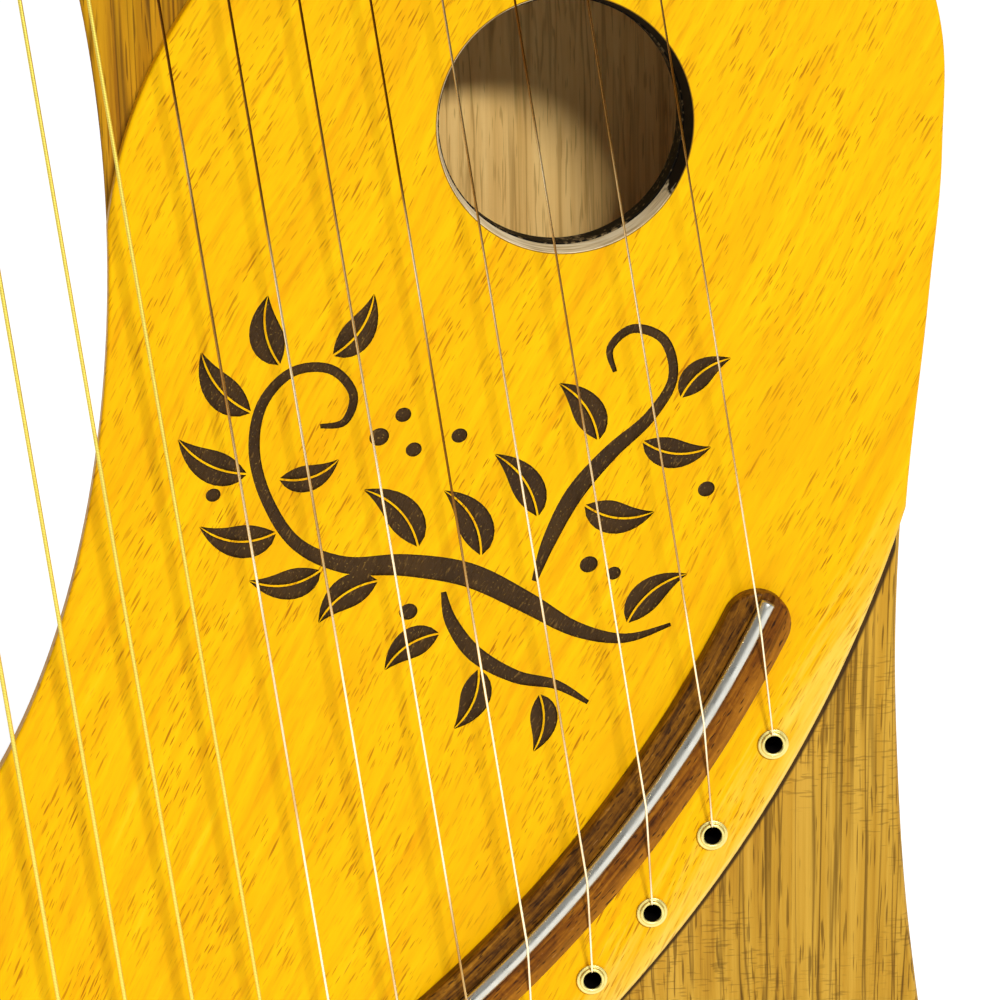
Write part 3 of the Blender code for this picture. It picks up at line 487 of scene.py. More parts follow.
# Rosewood strip, sanded and oiled. Where it was bent to an arc the grain follows the strip, so the pattern reads
# the angle and the radius about the arc's centre
def makeRosewood(name, arc=None):
    material, tree, shader = startMaterial(name, 0.40, 0.10)
    place = objectPlace(tree)
    if arc:
        x, y, z = axes(tree, place)
        along = calc(tree, "MULTIPLY", angleAbout(tree, x, z, arc["centre"]), arc["radius"])
        out = calc(tree, "SUBTRACT", distanceFrom(tree, x, z, arc["centre"]), arc["radius"])
        wood = addNode(tree, "ShaderNodeCombineXYZ", {0: along, 1: out, 2: y})
    else:
        turning = (math.radians(-90), 0.0, math.radians(21))
        wood = addNode(tree, "ShaderNodeMapping", {"Vector": place, "Rotation": turning})
        out = 0.0
    # dark lines 0.9 mm apart along the strip, and a curly figure across it, 1 to 2 mm apart
    figure = noise(tree, wood, (70, 1100, 1100), 4.0, 0.65, 0.6)
    curl = noise(tree, wood, (620, 500, 500), 3.0, 0.6, 1.2)
    tone = calc(tree, "MULTIPLY_ADD", curl, 0.18, calc(tree, "MULTIPLY", figure, 0.82))
    inner = ramp(tree, tone, (0.36, "#331c04"), (0.46, "#5c3608"), (0.55, "#7a4c0c"), (0.68, "#a26c18"))
    outer = ramp(tree, tone, (0.36, "#422004"), (0.46, "#723e08"), (0.55, "#8c530c"), (0.68, "#b6761c"))
    side = ease(tree, out, -0.0015, 0.0015)
    base = blend(tree, side, inner, outer)
    # painted shade darkens it beside the rod, in the rod's groove, and it is paler towards the outer rim
    paintedRodShade = calc(tree, "MULTIPLY", ease(tree, out, 0.0012, 0.0024, 0.5, 0.0), side)
    base = blend(tree, paintedRodShade, base, "#341c06")
    base = blend(tree, ease(tree, out, 0.0030, 0.0058, 0.0, 0.5), base, "#b87820")
    # pores 0.2 mm wide and 1 to 2 mm long
    pores = noise(tree, wood, (420, 2400, 2400), 1.0)
    poreMask = ease(tree, pores, 0.61, 0.70, 0.0, 0.8)
    dark = blend(tree, poreMask, base, "#1f1006")
    # pale specks away from the pores: painted glints
    paint(tree, shader, blend(tree, ease(tree, pores, 0.30, 0.24, 0.0, 0.35), dark, "#c08a48"))
    dent(tree, shader, poreMask, 0.4, 0.0001, invert=True)
    return material


# Engraved with a hot point: charred brown wood, scraped floor with paler scratches along the grain
def makeCharredWood():
    material, tree, shader = startMaterial("charredWood", 0.45, 0.22)
    place = objectPlace(tree)
    # scratches 0.4 mm wide and 2 mm long
    scrape = noise(tree, boardGrain(tree, place), (2200, 2200, 500), 3.0, 0.6)
    base = blend(tree, noise(tree, place, 160.0, 2.0), "#2a1803", "#4c3208")
    scraped = blend(tree, ease(tree, scrape, 0.56, 0.74, 0.0, 0.75), base, "#84622a")
    # paler specks, 0.4 mm: painted glints
    paintedGlints = noise(tree, place, 2600.0, 1.0)
    paint(tree, shader, blend(tree, ease(tree, paintedGlints, 0.66, 0.76, 0.0, 0.5), scraped, "#a8843c"))
    dent(tree, shader, scrape, 0.8, 0.0005)
    return material


# Bare sawn edge of the soundboard inside the sound hole: pale tan, and nearly black on the side that faces away from
# the lamp, painted shade with the ring's black stain run over it
def makeSawnEdge():
    material, tree, shader = startMaterial("sawnEdge", 0.7, 0.1)
    place = objectPlace(tree)
    x, _, z = axes(tree, place)
    # saw lines 0.7 mm apart through the thickness
    lines = noise(tree, place, (160, 1500, 160), 2.0)
    bare = ramp(tree, lines, (0.30, "#c4a676"), (0.50, "#ecd4a4"), (0.70, "#fbe9c4"))
    ragged = noise(tree, place, 700.0, 1.0)
    angle = calc(tree, "MULTIPLY_ADD", ragged, 0.25, angleAbout(tree, x, z, hole["centre"]))
    # painted shade and stain: from 32 degrees below level to 100 above, seen about the hole's centre
    stainAndShade = calc(tree, "MULTIPLY", spread(tree, angle, -0.45, -0.41), spread(tree, angle, 1.85, 1.95, 1.0, 0.0))
    paint(tree, shader, blend(tree, stainAndShade, bare, "#160e06"))
    return material


# Black-stained hardwood ring: nearly black, with chips under a millimetre where the bare wood shows
def makeBlackRing():
    material, tree, shader = startMaterial("blackStainedRing", 0.6, 0.08)
    place = objectPlace(tree)
    chips = noise(tree, place, 1300.0, 2.0)
    chips = calc(tree, "MULTIPLY_ADD", noise(tree, place, 130.0, 1.0), 0.5, chips)
    paint(tree, shader, blend(tree, ease(tree, chips, 0.84, 0.92, 0.0, 0.8), "#0b0704", "#8a7450"))
    return material


# Spruce, split and planed: pale, with straight growth lines 1 mm apart
def makeSpruce():
    material, tree, shader = startMaterial("splitSpruce", 0.65, 0.2)
    lines = noise(tree, objectPlace(tree), (60, 1000, 60), 2.0)
    paint(tree, shader, ramp(tree, lines, (0.35, "#b98f55"), (0.50, "#dcc08c"), (0.70, "#ead6ab")))
    return material


# Metals, polished and then handled: fine scratches along or round the piece, and dull patches of 2 mm
def makeMetal(name, colour, dulled, roughness, scratch):
    material, tree, shader = startMaterial(name, Metallic=1.0)
    place = objectPlace(tree)
    patches = noise(tree, place, 420.0, 2.0)
    paint(tree, shader, blend(tree, patches, colour, dulled))
    rough = spread(tree, patches, 0.3, 0.7, roughness * 0.8, roughness * 1.3)
    tree.links.new(rough.outputs[0], shader.inputs["Roughness"])
    dent(tree, shader, noise(tree, place, scratch, 2.0), 0.3, 0.00002)
    return material


# Drawn steel string, some years old: bright low down and browned nearer the nut, partly tarnish and partly painted
# highlight and reflection
def makeOldSteel():
    material, tree, shader = startMaterial("drawnSteel", 0.22, Metallic=1.0)
    place = objectPlace(tree)
    # patches 3 to 8 cm long, not the same on two strings
    patches = noise(tree, place, (110, 110, 16), 2.0)
    tarnishAndReflection = calc(tree, "ADD", patches, spread(tree, axes(tree, place)[2], 0.14, 0.27, -0.24, 0.12))
    tint = ramp(tree, tarnishAndReflection, (0.28, "#fff2cc"), (0.40, "#d6b67c"), (0.50, "#a67c3e"), (0.59, "#74460f"))
    paint(tree, shader, tint)
    return material


# Bronze-wound string: the winding's turns lie this far apart, in metres
def makeWinding(pitch=0.00025):
    material, tree, shader = startMaterial("bronzeWinding", 0.45, Metallic=1.0)
    along = addNode(tree, "ShaderNodeAttribute", attribute_name="along").outputs["Fac"]
    wave = calc(tree, "SINE", calc(tree, "MULTIPLY", along, 2 * math.pi / pitch))
    # each turn lighter on its crest and darker between turns: painted light and shade
    paint(tree, shader, blend(tree, spread(tree, wave, -1.0, 1.0), "#e6cc4a", "#fff07c"))
    dent(tree, shader, wave, 0.2, 0.00004)
    return material


leaf = {
    "belly": (-0.061, 0.2375), "bellyRadius": 0.2126, "bellyEnd": -100.0, "lobe": (0.091104, 0.215393),
    "lobeRadius": 0.075, "tailRadius": 0.045, "flankRadius": 0.150, "flankEnd": 130.0, "edge": 0.0006,
    "setback": 0.0006,
}
bridgeArc = {"centre": (-0.0678, 0.2512), "radius": 0.2071}
hole = {
    "centre": (0.087204, 0.238993), "radius": 0.0199, "bore": 0.0191, "taper": 0.0006, "edge": 0.0001,
    "ringWidth": 0.007, "ringThick": 0.005,
}
stainedMahogany = makeStainedMahogany()
oiledWalnut = makeOiledWalnut("oiledWalnut", "#d2a43c", "#c0902a", "#986a1c", "#5a3c0a", 0.42, jointShade=0.95)
rawWalnut = makeOiledWalnut("rawWalnut", "#f4cc80", "#e9bd70", "#d8ac60", "#bc9450", 0.1)
rosewood = makeRosewood("rosewoodBridge", bridgeArc)
rosewoodNut = makeRosewood("rosewoodNut")
charredWood = makeCharredWood()
sawnEdge = makeSawnEdge()
blackRing = makeBlackRing()
spruce = makeSpruce()
# scratches 0.4 mm apart and 3 mm long on the rods and pins, and 0.7 mm apart all ways on the brass
nickelRod = makeMetal("nickelRod", "#d6d5cc", "#c0bfb4", 0.28, (300, 2500, 300))
nickelPin = makeMetal("nickelPin", "#c9c6be", "#aaa79f", 0.22, (2500, 300, 2500))
paleBrass = makeMetal("paleBrass", "#f7e896", "#e2d07a", 0.36, (1500, 1500, 1500))
drawnSteel = makeOldSteel()
bronzeWinding = makeWinding()
# painted shade: the eyelets' barrels are nearly black inside, so their bores read dark
paintedBoreShade = startMaterial("boreShadeBarrel", 0.7, 0.1, **{"Base Color": "#0d0906"})[0]
print("materials done")


# Strings: where each one runs, treble first
strings = {
    "count": 16, "plain": 8, "plainRadii": (0.00016, 0.00023), "woundRadii": (0.00030, 0.00045), "touch": 0.00005,
    "frameRadii": (0.00020, 0.00045), "trebleLean": 9.76, "bassLean": 6.90, "trebleNut": (0.086504, 0.341993),
    "nutSlope": 21.0, "pitch": 0.01255, "pitchDrop": 0.00019, "bend": 0.0012,
}
# A pressed eyelet: lift is its flange's underside, rim goes in from the flange's edge, bead is rolled round the bore
eyelets = {
    "aside": 0.0036, "pitch": 0.0098, "reach": 0.2206, "bore": 0.0015, "flange": 0.00255, "wall": 0.0004,
    "proud": 0.0009, "drill": 0.0023, "barrel": 0.004, "lift": 0.0003, "bead": 0.0003, "beadCentre": 0.00025,
    "rim": ((0.00004, 0.0003), (0.0, 0.00038), (0.00006, 0.00050), (0.00018, 0.00056)),
    "groove": ((0.00212, 0.00052), (0.00206, 0.00056)), "sides": 48,
}
allStrings = range(strings["count"])
plainOnes = range(strings["plain"])
woundOnes = range(strings["plain"], strings["count"])
lastString = strings["count"] - 1


def numbered(prefix, numbers):
    return ["%s_%02d" % (prefix, i + 1) for i in numbers]


def nutAlong():
    slope = math.radians(strings["nutSlope"])
    return Vector((-math.cos(slope), math.sin(slope)))


def nutUp():
    slope = math.radians(strings["nutSlope"])
    return Vector((math.sin(slope), math.cos(slope)))


def stringRadius(i):
    plain = strings["plain"]
    first, last = strings["plainRadii"] if i < plain else strings["woundRadii"]
    return first + (last - first) * (i % plain) / (plain - 1)


def stringUp(i):
    first, last = strings["trebleLean"], strings["bassLean"]
    lean = math.radians(first + (last - first) * i / lastString)
    return Vector((-math.sin(lean), math.cos(lean)))


def nutPoint(i):
    run = i * strings["pitch"] - strings["pitchDrop"] * i * (i - 1) / 2
    return Vector(strings["trebleNut"]) + nutAlong() * run


# Beyond the end strings along the nut's line, by this much
def nutEnds(beyond):
    return nutPoint(0) - nutAlong() * beyond, nutPoint(lastString) + nutAlong() * beyond


def saddlePoint(i):
    start = nutPoint(i) - Vector(bridgeArc["centre"])
    down = -stringUp(i)
    half = start.dot(down)
    return nutPoint(i) + down * (-half + math.sqrt(half * half - start.length_squared + bridgeArc["radius"] ** 2))


def eyeletPoint(i):
    x = saddlePoint(0).x + eyelets["aside"] - i * eyelets["pitch"]
    centre = bridgeArc["centre"]
    return Vector((x, centre[1] - math.sqrt(eyelets["reach"] ** 2 - (x - centre[0]) ** 2)))


def saddleAngle(i):
    place = saddlePoint(i) - Vector(bridgeArc["centre"])
    return math.degrees(math.atan2(place.y, place.x))


# One cutter with a round hole for each string, from a profile of (radius, height out of the face at y)
def drills(name, profile, pointAt, y, material):
    holes = []
    for i in allStrings:
        place = pointAt(i)
        drill = turned("drill", profile, 28, material)
        drill.data.transform(faceFront(place.x, y, place.y))
        holes.append(drill)
    return joined(name, holes)


# Body: a solid walnut slab, cut through by the hand window and hollowed from the back
body = {
    "edge": 0.0015, "footHalf": 0.160, "footRound": 0.024, "waist": (0.1430, 0.170), "bulge": (0.1476, 0.234),
    "footToWaist": ((0.256, 0.3235), (0.690, 0.5324), (0.965, 0.788)), "waistToBulge": ((0.696, 0.656),),
    "bulgeToHead": ((0.047, 0.1615), (0.500, 0.3815), (0.857, 0.656), (1.0, 0.897)),
    "alongHead": ((0.048, 0.0), (0.263, 0.224), (0.666, 0.714), (1.0, 1.0), (1.086, 0.851)),
    "headToBass": ((0.509, 0.7787), (0.2045, 0.4205)), "headRise": 0.044, "headMargins": (0.010, 0.046),
    "rim": 0.014, "wall": 0.012, "windowWall": 0.008, "ledge": 0.0035, "plate": 0.003, "boxTop": 0.45,
    "outlineSteps": 12, "stringHole": 0.0017, "ballSeat": 0.0028, "ballSeatDepth": 0.007,
}
# The window's wall leans back: it is larger behind by these amounts. Its cutter flares outside the faces
window = {
    "centre": (-0.0388, 0.2218), "halfWidth": 0.0555, "halfHeight": 0.110, "steps": 200, "edge": 0.0009,
    "flareSide": 0.0035, "flareTop": 0.003, "flareBottom": 0.014, "clear": 0.002, "clearGrow": 0.0005,
}


# Knots at shares of the way across and up from one point to another; only the foot's are sharp
def knotsBetween(start, end, shares):
    return [(start[0] + (end[0] - start[0]) * across, start[1] + (end[1] - start[1]) * up, False)
            for across, up in shares]


# Points of the outside, from a Bezier curve through its knots
def bodyOutline():
    rightMargin, leftMargin = body["headMargins"]
    waist, bulge = body["waist"], body["bulge"]
    rightEnd = nutPoint(0) - nutAlong() * rightMargin + nutUp() * body["headRise"]
    leftEnd = nutPoint(lastString) + nutAlong() * leftMargin + nutUp() * body["headRise"]
    foot = (body["footHalf"], 0.0)
    corner = arcPoints((foot[0] - body["footRound"], body["footRound"]), body["footRound"], -90.0, 0.0, 3)
    lower = [(x, z, i == 0) for i, (x, z) in enumerate(corner)]
    lower += knotsBetween(foot, waist, body["footToWaist"]) + [(*waist, False)]
    lower += knotsBetween(waist, bulge, body["waistToBulge"]) + [(*bulge, False)]
    upper = knotsBetween(bulge, rightEnd, body["bulgeToHead"])
    upper += knotsBetween(rightEnd, leftEnd, body["alongHead"])
    upper += knotsBetween((-bulge[0], bulge[1]), leftEnd, body["headToBass"])
    knots = lower + upper + [(-x, z, sharp) for x, z, sharp in reversed(lower)]
    curve = bpy.data.curves.new("outline", "CURVE")
    curve.resolution_u = body["outlineSteps"]
    spline = curve.splines.new("BEZIER")
    spline.bezier_points.add(len(knots) - 1)
    for point, (x, z, sharp) in zip(spline.bezier_points, knots):
        point.co = (x, z, 0.0)
        point.handle_left_type = point.handle_right_type = "VECTOR" if sharp else "AUTO"
    spline.use_cyclic_u = True
    drawn = addObject("outline", curve)
    bpy.context.view_layer.update()
    points = [(v.co.x, v.co.y) for v in drawn.to_mesh().vertices]
    drawn.to_mesh_clear()
    bpy.data.objects.remove(drawn)
    return points


# Angles about two centres of the upper point where their circles cross
def crossingAngles(centre, radius, other, otherRadius):
    across = Vector(other) - Vector(centre)
    along = (radius ** 2 - otherRadius ** 2 + across.length_squared) / (2 * across.length)
    rise = math.sqrt(radius ** 2 - along ** 2)
    slope = math.atan2(across.y, across.x)
    return [math.degrees(slope + math.atan2(rise, reach)) for reach in (along, along - across.length)]


# The leaf in arcs: the lobe beside the strings, the long belly, the tail and the flank
def leafOutline(inset):
    belly, wide, lobe = leaf["belly"], leaf["bellyRadius"], leaf["lobe"]
    tail = polar(belly, wide - leaf["tailRadius"], leaf["bellyEnd"])
    flank = (tail[0] + leaf["flankRadius"] - leaf["tailRadius"], tail[1])
    bellyStart, lobeEnd = crossingAngles(belly, wide - inset, lobe, leaf["lobeRadius"] - inset)
    points = arcPoints(lobe, leaf["lobeRadius"] - inset, 180.0, lobeEnd, 90)
    points += arcPoints(belly, wide - inset, bellyStart, leaf["bellyEnd"], 120)[1:]
    points += arcPoints(tail, leaf["tailRadius"] - inset, leaf["bellyEnd"], -180.0, 30)[1:]
    points += arcPoints(flank, leaf["flankRadius"] - inset, 180.0, leaf["flankEnd"], 30)[1:]
    return points


# The window's outline, or one larger all round by grow; lean is 0 at the front and 1 at the back
def windowOutline(grow, lean=0.0):
    tall = (window["flareTop"] + window["flareBottom"]) / 2 * lean
    shift = (window["flareTop"] - window["flareBottom"]) / 2 * lean
    centre = (window["centre"][0], window["centre"][1] + shift)
    halfWidth = window["halfWidth"] + window["flareSide"] * lean + grow
    return ellipsePoints(centre, halfWidth, window["halfHeight"] + tall + grow, 0, window["steps"])


# Cutter for the window, wider at a face so that the rim it leaves is rounded
def windowCutter(front, back, edge, leaning, material):
    rims = [(edge * (1 - math.cos(a)), edge * (1 - math.sin(a))) for a in [math.pi / 2 * k / 4 for k in range(5)]]
    clear, flared = window["clear"], edge + window["clearGrow"]
    levels = [(front - clear, flared)] + [(front + deep, grow) for deep, grow in rims]
    if leaning:
        levels += [(back - deep, grow) for deep, grow in reversed(rims)] + [(back + clear, flared)]
    else:
        levels += [(back + clear, 0.0)]
    rings = []
    for y, grow in levels:
        lean = min(max((y - front) / (back - front), 0), 1) if leaning else 0.0
        rings.append([(x, y, z) for x, z in windowOutline(grow, lean)])
    return loft("windowCutter", rings, material)


# The sound box's plan, or one that is larger all round by grow
def boxShape(name, front, back, grow, material):
    made = slab(name, leafOutline, [(front, body["rim"] - grow), (back, body["rim"] - grow)], material)
    side, top = body["waist"][0] - body["wall"] + grow, body["boxTop"]
    corners = [(-side, 0.0), (side, 0.0), (side, top), (-side, top)]
    around = windowOutline(body["windowWall"] - grow, 1.0)
    made = combine(made, [plate("sides", corners, front - past, back + past, material)], "INTERSECT")
    return combine(made, [plate("around", around, front - past, back + past, material)])


outside = bodyOutline()


def makeBody():
    front, back = depth["front"], depth["back"]
    levels = roundedLevels(front, back, body["edge"], 5)
    made = slab("walnutBody", lambda inset: insetOutline(outside, inset), levels, oiledWalnut)
    seat = back - body["ballSeatDepth"]
    stringHole = [(body["stringHole"], back + past), (body["stringHole"], -seat),
                  (body["ballSeat"], -seat), (body["ballSeat"], -back - past)]
    pinHole = [(pins["hole"], past), (pins["hole"], -pins["holeDepth"])]
    return smoothed(combine(made, [
        windowCutter(front, back, window["edge"], True, oiledWalnut),
        boxShape("boxCutter", front - past, back + past, 0.0, rawWalnut),
        boxShape("rebateCutter", back - body["plate"] - depth["glue"], back + past, body["ledge"], oiledWalnut),
        # the string holes take the charred engraving's dark brown: painted shade inside them
        drills("stringHoles", stringHole, eyeletPoint, 0.0, charredWood),
        drills("pinHoles", pinHole, pinPoint, front, rawWalnut),
    ]))


# Tuning pins: turned steel, squared at the top for the key, with an eye for the string
pins = {
    "radius": 0.0025, "distance": 0.022, "depth": 0.026, "shaft": 0.0105, "head": 0.0095,
    "headLow": 0.0042, "headTop": 0.0036, "eyeHeight": 0.0085, "eyeRadius": 0.0006, "running": 0.0003,
    "coilHeight": 0.0030, "turns": 2.25, "spread": 0.04, "coilGap": 0.0006, "hole": 0.0029, "holeDepth": 0.0263,
    "sides": 40,
}


# To the right of a string, seen from the front
def stringRight(i):
    up = stringUp(i)
    return Vector((up.y, -up.x))


def pinPoint(i):
    first, last = strings["frameRadii"]
    aside = pins["radius"] + pins["running"] + first + (last - first) * i / lastString
    return nutPoint(i) + stringUp(i) * pins["distance"] + stringRight(i) * aside


# The coils don't all end at the same place round their pins
def coilTurns(i):
    return pins["turns"] + pins["spread"] * ((i * 7) % 5)


def coilPitch(i):
    return 2 * stringRadius(i) + pins["coilGap"]


def coilPoints(i, steps):
    centre, up, right = pinPoint(i), stringUp(i), stringRight(i)
    reach = pins["radius"] + strings["touch"] + stringRadius(i)
    count = round(steps * coilTurns(i))
    points = []
    for k in range(count + 1):
        turn = coilTurns(i) * k / count
        angle = 2 * math.pi * turn
        place = centre + (up * math.sin(angle) - right * math.cos(angle)) * reach
        points.append(Vector((place.x, depth["front"] - pins["coilHeight"] - coilPitch(i) * turn, place.y)))
    return points


# A route in space whose corners become short arcs
def roundedRoute(corners, radius, stepAngle=0.12):
    points = [Vector(corners[0])]
    for before, corner, after in zip(corners, corners[1:], corners[2:]):
        corner = Vector(corner)
        back = (Vector(before) - corner).normalized()
        ahead = (Vector(after) - corner).normalized()
        turn = math.pi - back.angle(ahead)
        reach = radius * math.tan(turn / 2)
        steps = max(2, round(turn / stepAngle))
        centre = corner + (back + ahead).normalized() * (radius / math.cos(turn / 2))
        first = corner + back * reach - centre
        last = corner + ahead * reach - centre
        for k in range(steps + 1):
            near = math.sin((1 - k / steps) * turn) / math.sin(turn)
            far = math.sin(k / steps * turn) / math.sin(turn)
            points.append(centre + first * near + last * far)
    points.append(Vector(corners[-1]))
    return points


# A Geometry Nodes tree that takes a geometry and the named inputs, and the sockets that give them
def startTree(name, **inputs):
    tree = bpy.data.node_groups.new(name, "GeometryNodeTree")
    tree.interface.new_socket("Geometry", in_out="OUTPUT", socket_type="NodeSocketGeometry")
    for label, kind in {"Geometry": "Geometry", **inputs}.items():
        tree.interface.new_socket(label, in_out="INPUT", socket_type="NodeSocket" + kind)
    return tree, addNode(tree, "NodeGroupInput").outputs


# A round wire along each spline, which keeps its length in "along" for the material
def makeWireTree():
    tree, given = startTree("wireAlongPath", Thickness="Float", Sides="Int", Metal="Material")
    length = addNode(tree, "GeometryNodeSplineParameter").outputs["Length"]
    stored = {"Geometry": given["Geometry"], "Name": "along", "Value": length}
    marked = addNode(tree, "GeometryNodeStoreNamedAttribute", stored, data_type="FLOAT", domain="POINT")
    ring = addNode(tree, "GeometryNodeCurvePrimitiveCircle", {"Resolution": given["Sides"], "Radius": 1.0})
    thick = calc(tree, "MULTIPLY", addNode(tree, "GeometryNodeInputRadius"), given["Thickness"])
    swept = {"Curve": marked, "Profile Curve": ring, "Scale": thick, "Fill Caps": True}
    wire = addNode(tree, "GeometryNodeCurveToMesh", swept)
    smooth = addNode(tree, "GeometryNodeSetShadeSmooth", {"Geometry": wire, "Shade Smooth": True})
    real = addNode(tree, "GeometryNodeRealizeInstances", {"Geometry": smooth})
    painted = addNode(tree, "GeometryNodeSetMaterial", {"Geometry": real, "Material": given["Metal"]})
    addNode(tree, "NodeGroupOutput", {"Geometry": painted})
    return tree


# Copies of the modelled piece, in a row on the eyelets' arc
def makeRowTree():
    tree, given = startTree("rowOnArc", Count="Int", First="Float", Pitch="Float", Centre="Vector", Reach="Float",
                            Metal="Material", Lining="Material")
    shift = calc(tree, "MULTIPLY", addNode(tree, "GeometryNodeInputIndex"), given["Pitch"])
    x = calc(tree, "SUBTRACT", given["First"], shift)
    middle = axes(tree, given["Centre"])
    aside = calc(tree, "SUBTRACT", x, middle[0])
    reachSquare = calc(tree, "MULTIPLY", given["Reach"], given["Reach"])
    drop = calc(tree, "SQRT", calc(tree, "SUBTRACT", reachSquare, calc(tree, "MULTIPLY", aside, aside)))
    z = calc(tree, "SUBTRACT", middle[2], drop)
    place = addNode(tree, "ShaderNodeCombineXYZ", {0: x, 1: middle[1], 2: z})
    points = addNode(tree, "GeometryNodePoints", {"Count": given["Count"], "Position": place})
    row = addNode(tree, "GeometryNodeInstanceOnPoints", {"Points": points, "Instance": given["Geometry"]})
    real = addNode(tree, "GeometryNodeRealizeInstances", {"Geometry": row})
    painted = addNode(tree, "GeometryNodeSetMaterial", {"Geometry": real, "Material": given["Metal"]})
    # faces inside the bore take the painted bore shade
    inside = addNode(tree, "GeometryNodeInputNamedAttribute", {"Name": "inside"}, data_type="BOOLEAN")
    boreShadeInputs = {"Geometry": painted, "Selection": inside, "Material": given["Lining"]}
    addNode(tree, "NodeGroupOutput", {"Geometry": addNode(tree, "GeometryNodeSetMaterial", boreShadeInputs)})
    return tree


wireTree = makeWireTree()
rowTree = makeRowTree()


# Runs a tree on an object and keeps the result as a plain mesh
def grown(source, tree, values, name):
    modifier = source.modifiers.new("nodes", "NODES")
    modifier.node_group = tree
    for item in tree.interface.items_tree:
        if item.in_out == "INPUT" and item.name in values:
            modifier[item.identifier] = values[item.name]
    return settle(source, name)


# A wire along each of the runs, which are (points, radii)
def wires(name, runs, thickness, sides, metal):
    curve = bpy.data.curves.new(name, "CURVE")
    curve.dimensions = "3D"
    for points, radii in runs:
        spline = curve.splines.new("POLY")
        spline.points.add(len(points) - 1)
        for point, place, radius in zip(spline.points, points, radii):
            point.co = (*place, 1.0)
            point.radius = radius
    return grown(addObject(name, curve), wireTree, {"Thickness": thickness, "Sides": sides, "Metal": metal}, name)


def rowOf(piece, y, name):
    centre = bridgeArc["centre"]
    return grown(piece, rowTree, {
        "Count": strings["count"], "First": eyeletPoint(0).x, "Pitch": eyelets["pitch"],
        "Centre": (centre[0], y, centre[1]), "Reach": eyelets["reach"], "Metal": paleBrass, "Lining": paintedBoreShade,
    }, name)


def makeBackPlate():
    front, grow = depth["back"] - body["plate"], body["ledge"] - depth["glue"]
    return smoothed(boxShape("walnutBackPlate", front, depth["back"], grow, rawWalnut))


finishPiece(makeBody(), "harp_body", "body_frame", slot="walnut")
finishPiece(makeBackPlate(), "harp_body", "back_plate", slot="walnut")

# Engraving: a climbing vine drawn for this harp. Sizes in millimetres on the soundboard's face
vine = {
    "cut": 0.00045, "vein": 0.16, "stroke": 0.6, "swell": 0.56, "leafSteps": 12,
    "stems": [
        [(104.5, 158.6, 0.5), (97.0, 156.6, 1.3), (89.0, 158.5, 2.1), (81.0, 163.3, 2.9), (72.0, 168.0, 3.3),
         (62.0, 170.0, 3.0), (52.5, 170.4, 2.3), (45.0, 174.0, 1.8), (40.5, 181.0, 1.6), (38.5, 189.0, 1.5),
         (39.8, 196.5, 1.4), (44.5, 201.5, 1.3), (50.5, 201.8, 1.3), (54.0, 197.8, 1.2), (52.6, 193.4, 1.0),
         (48.8, 192.8, 0.6)],
        [(82.5, 166.6, 0.8), (84.8, 173.0, 1.9), (88.8, 180.5, 2.4), (94.5, 187.0, 2.1), (100.6, 192.4, 1.6),
         (104.4, 198.6, 1.3), (103.0, 204.8, 1.3), (98.0, 206.8, 1.2), (94.4, 203.8, 1.0), (95.2, 200.0, 0.6)],
        [(68.0, 165.4, 0.7), (69.2, 160.5, 1.7), (73.0, 155.0, 2.2), (79.5, 151.0, 1.8), (86.0, 149.4, 1.3),
         (91.2, 146.2, 0.6)],
    ],
    "leaves": [
        (97.5, 159.2, 107.0, 166.8, 4.4, 0.12), (74.0, 171.2, 68.2, 181.8, 5.0, -0.14),
        (64.0, 173.0, 55.6, 182.4, 5.0, -0.14), (57.5, 167.6, 48.2, 161.2, 4.6, -0.12),
        (48.5, 169.6, 37.4, 168.4, 4.4, 0.14), (41.6, 176.0, 29.8, 177.4, 4.8, 0.16),
        (37.2, 185.6, 26.8, 191.4, 4.8, 0.12), (38.0, 195.4, 30.6, 205.0, 4.8, 0.12),
        (42.6, 202.8, 41.0, 213.6, 4.8, 0.12), (51.0, 204.0, 57.4, 213.4, 4.4, -0.12),
        (42.4, 184.6, 51.6, 187.4, 3.8, -0.14), (83.0, 177.2, 76.2, 187.4, 4.6, -0.12),
        (90.6, 178.6, 101.6, 177.2, 4.8, -0.14), (92.6, 189.2, 86.4, 198.4, 4.6, -0.12),
        (99.8, 188.6, 110.6, 187.4, 4.4, -0.14), (105.8, 195.6, 113.6, 201.6, 4.0, 0.12),
        (67.2, 158.6, 58.6, 153.0, 4.4, -0.12), (73.6, 152.4, 69.6, 142.8, 4.4, 0.12),
        (83.4, 147.8, 82.4, 138.4, 4.0, 0.12),
    ],
    "berries": [
        (62.4, 162.4, 1.5), (58.0, 190.8, 1.6), (61.8, 194.2, 1.3), (63.4, 188.6, 1.3), (91.2, 169.0, 1.5),
        (95.2, 167.4, 1.2), (110.0, 180.6, 1.4), (70.6, 190.6, 1.3), (32.0, 182.4, 1.2),
    ],
}


# Smooth points through (x, z, width) knots
def curveThrough(knots, steps):
    padded = [knots[0]] + list(knots) + [knots[-1]]
    points = []
    for a, b, c, d in zip(padded, padded[1:], padded[2:], padded[3:]):
        for k in range(steps):
            t = k / steps
            points.append([0.5 * (2 * q + (r - p) * t + (2 * p - 5 * q + 4 * r - s) * t * t
                                  + (3 * q - p - 3 * r + s) * t ** 3) for p, q, r, s in zip(a, b, c, d)])
    points.append(list(knots[-1]))
    return points


def strokeOutline(knots):
    path = curveThrough(knots, 6)
    left, right = [], []
    for k, (x, z, wide) in enumerate(path):
        before, after = path[max(k - 1, 0)], path[min(k + 1, len(path) - 1)]
        along = Vector((after[0] - before[0], after[1] - before[1])).normalized()
        half = wide * vine["stroke"]
        left.append((x - along.y * half, z + along.x * half))
        right.append((x + along.y * half, z - along.x * half))
    return left + right[::-1]


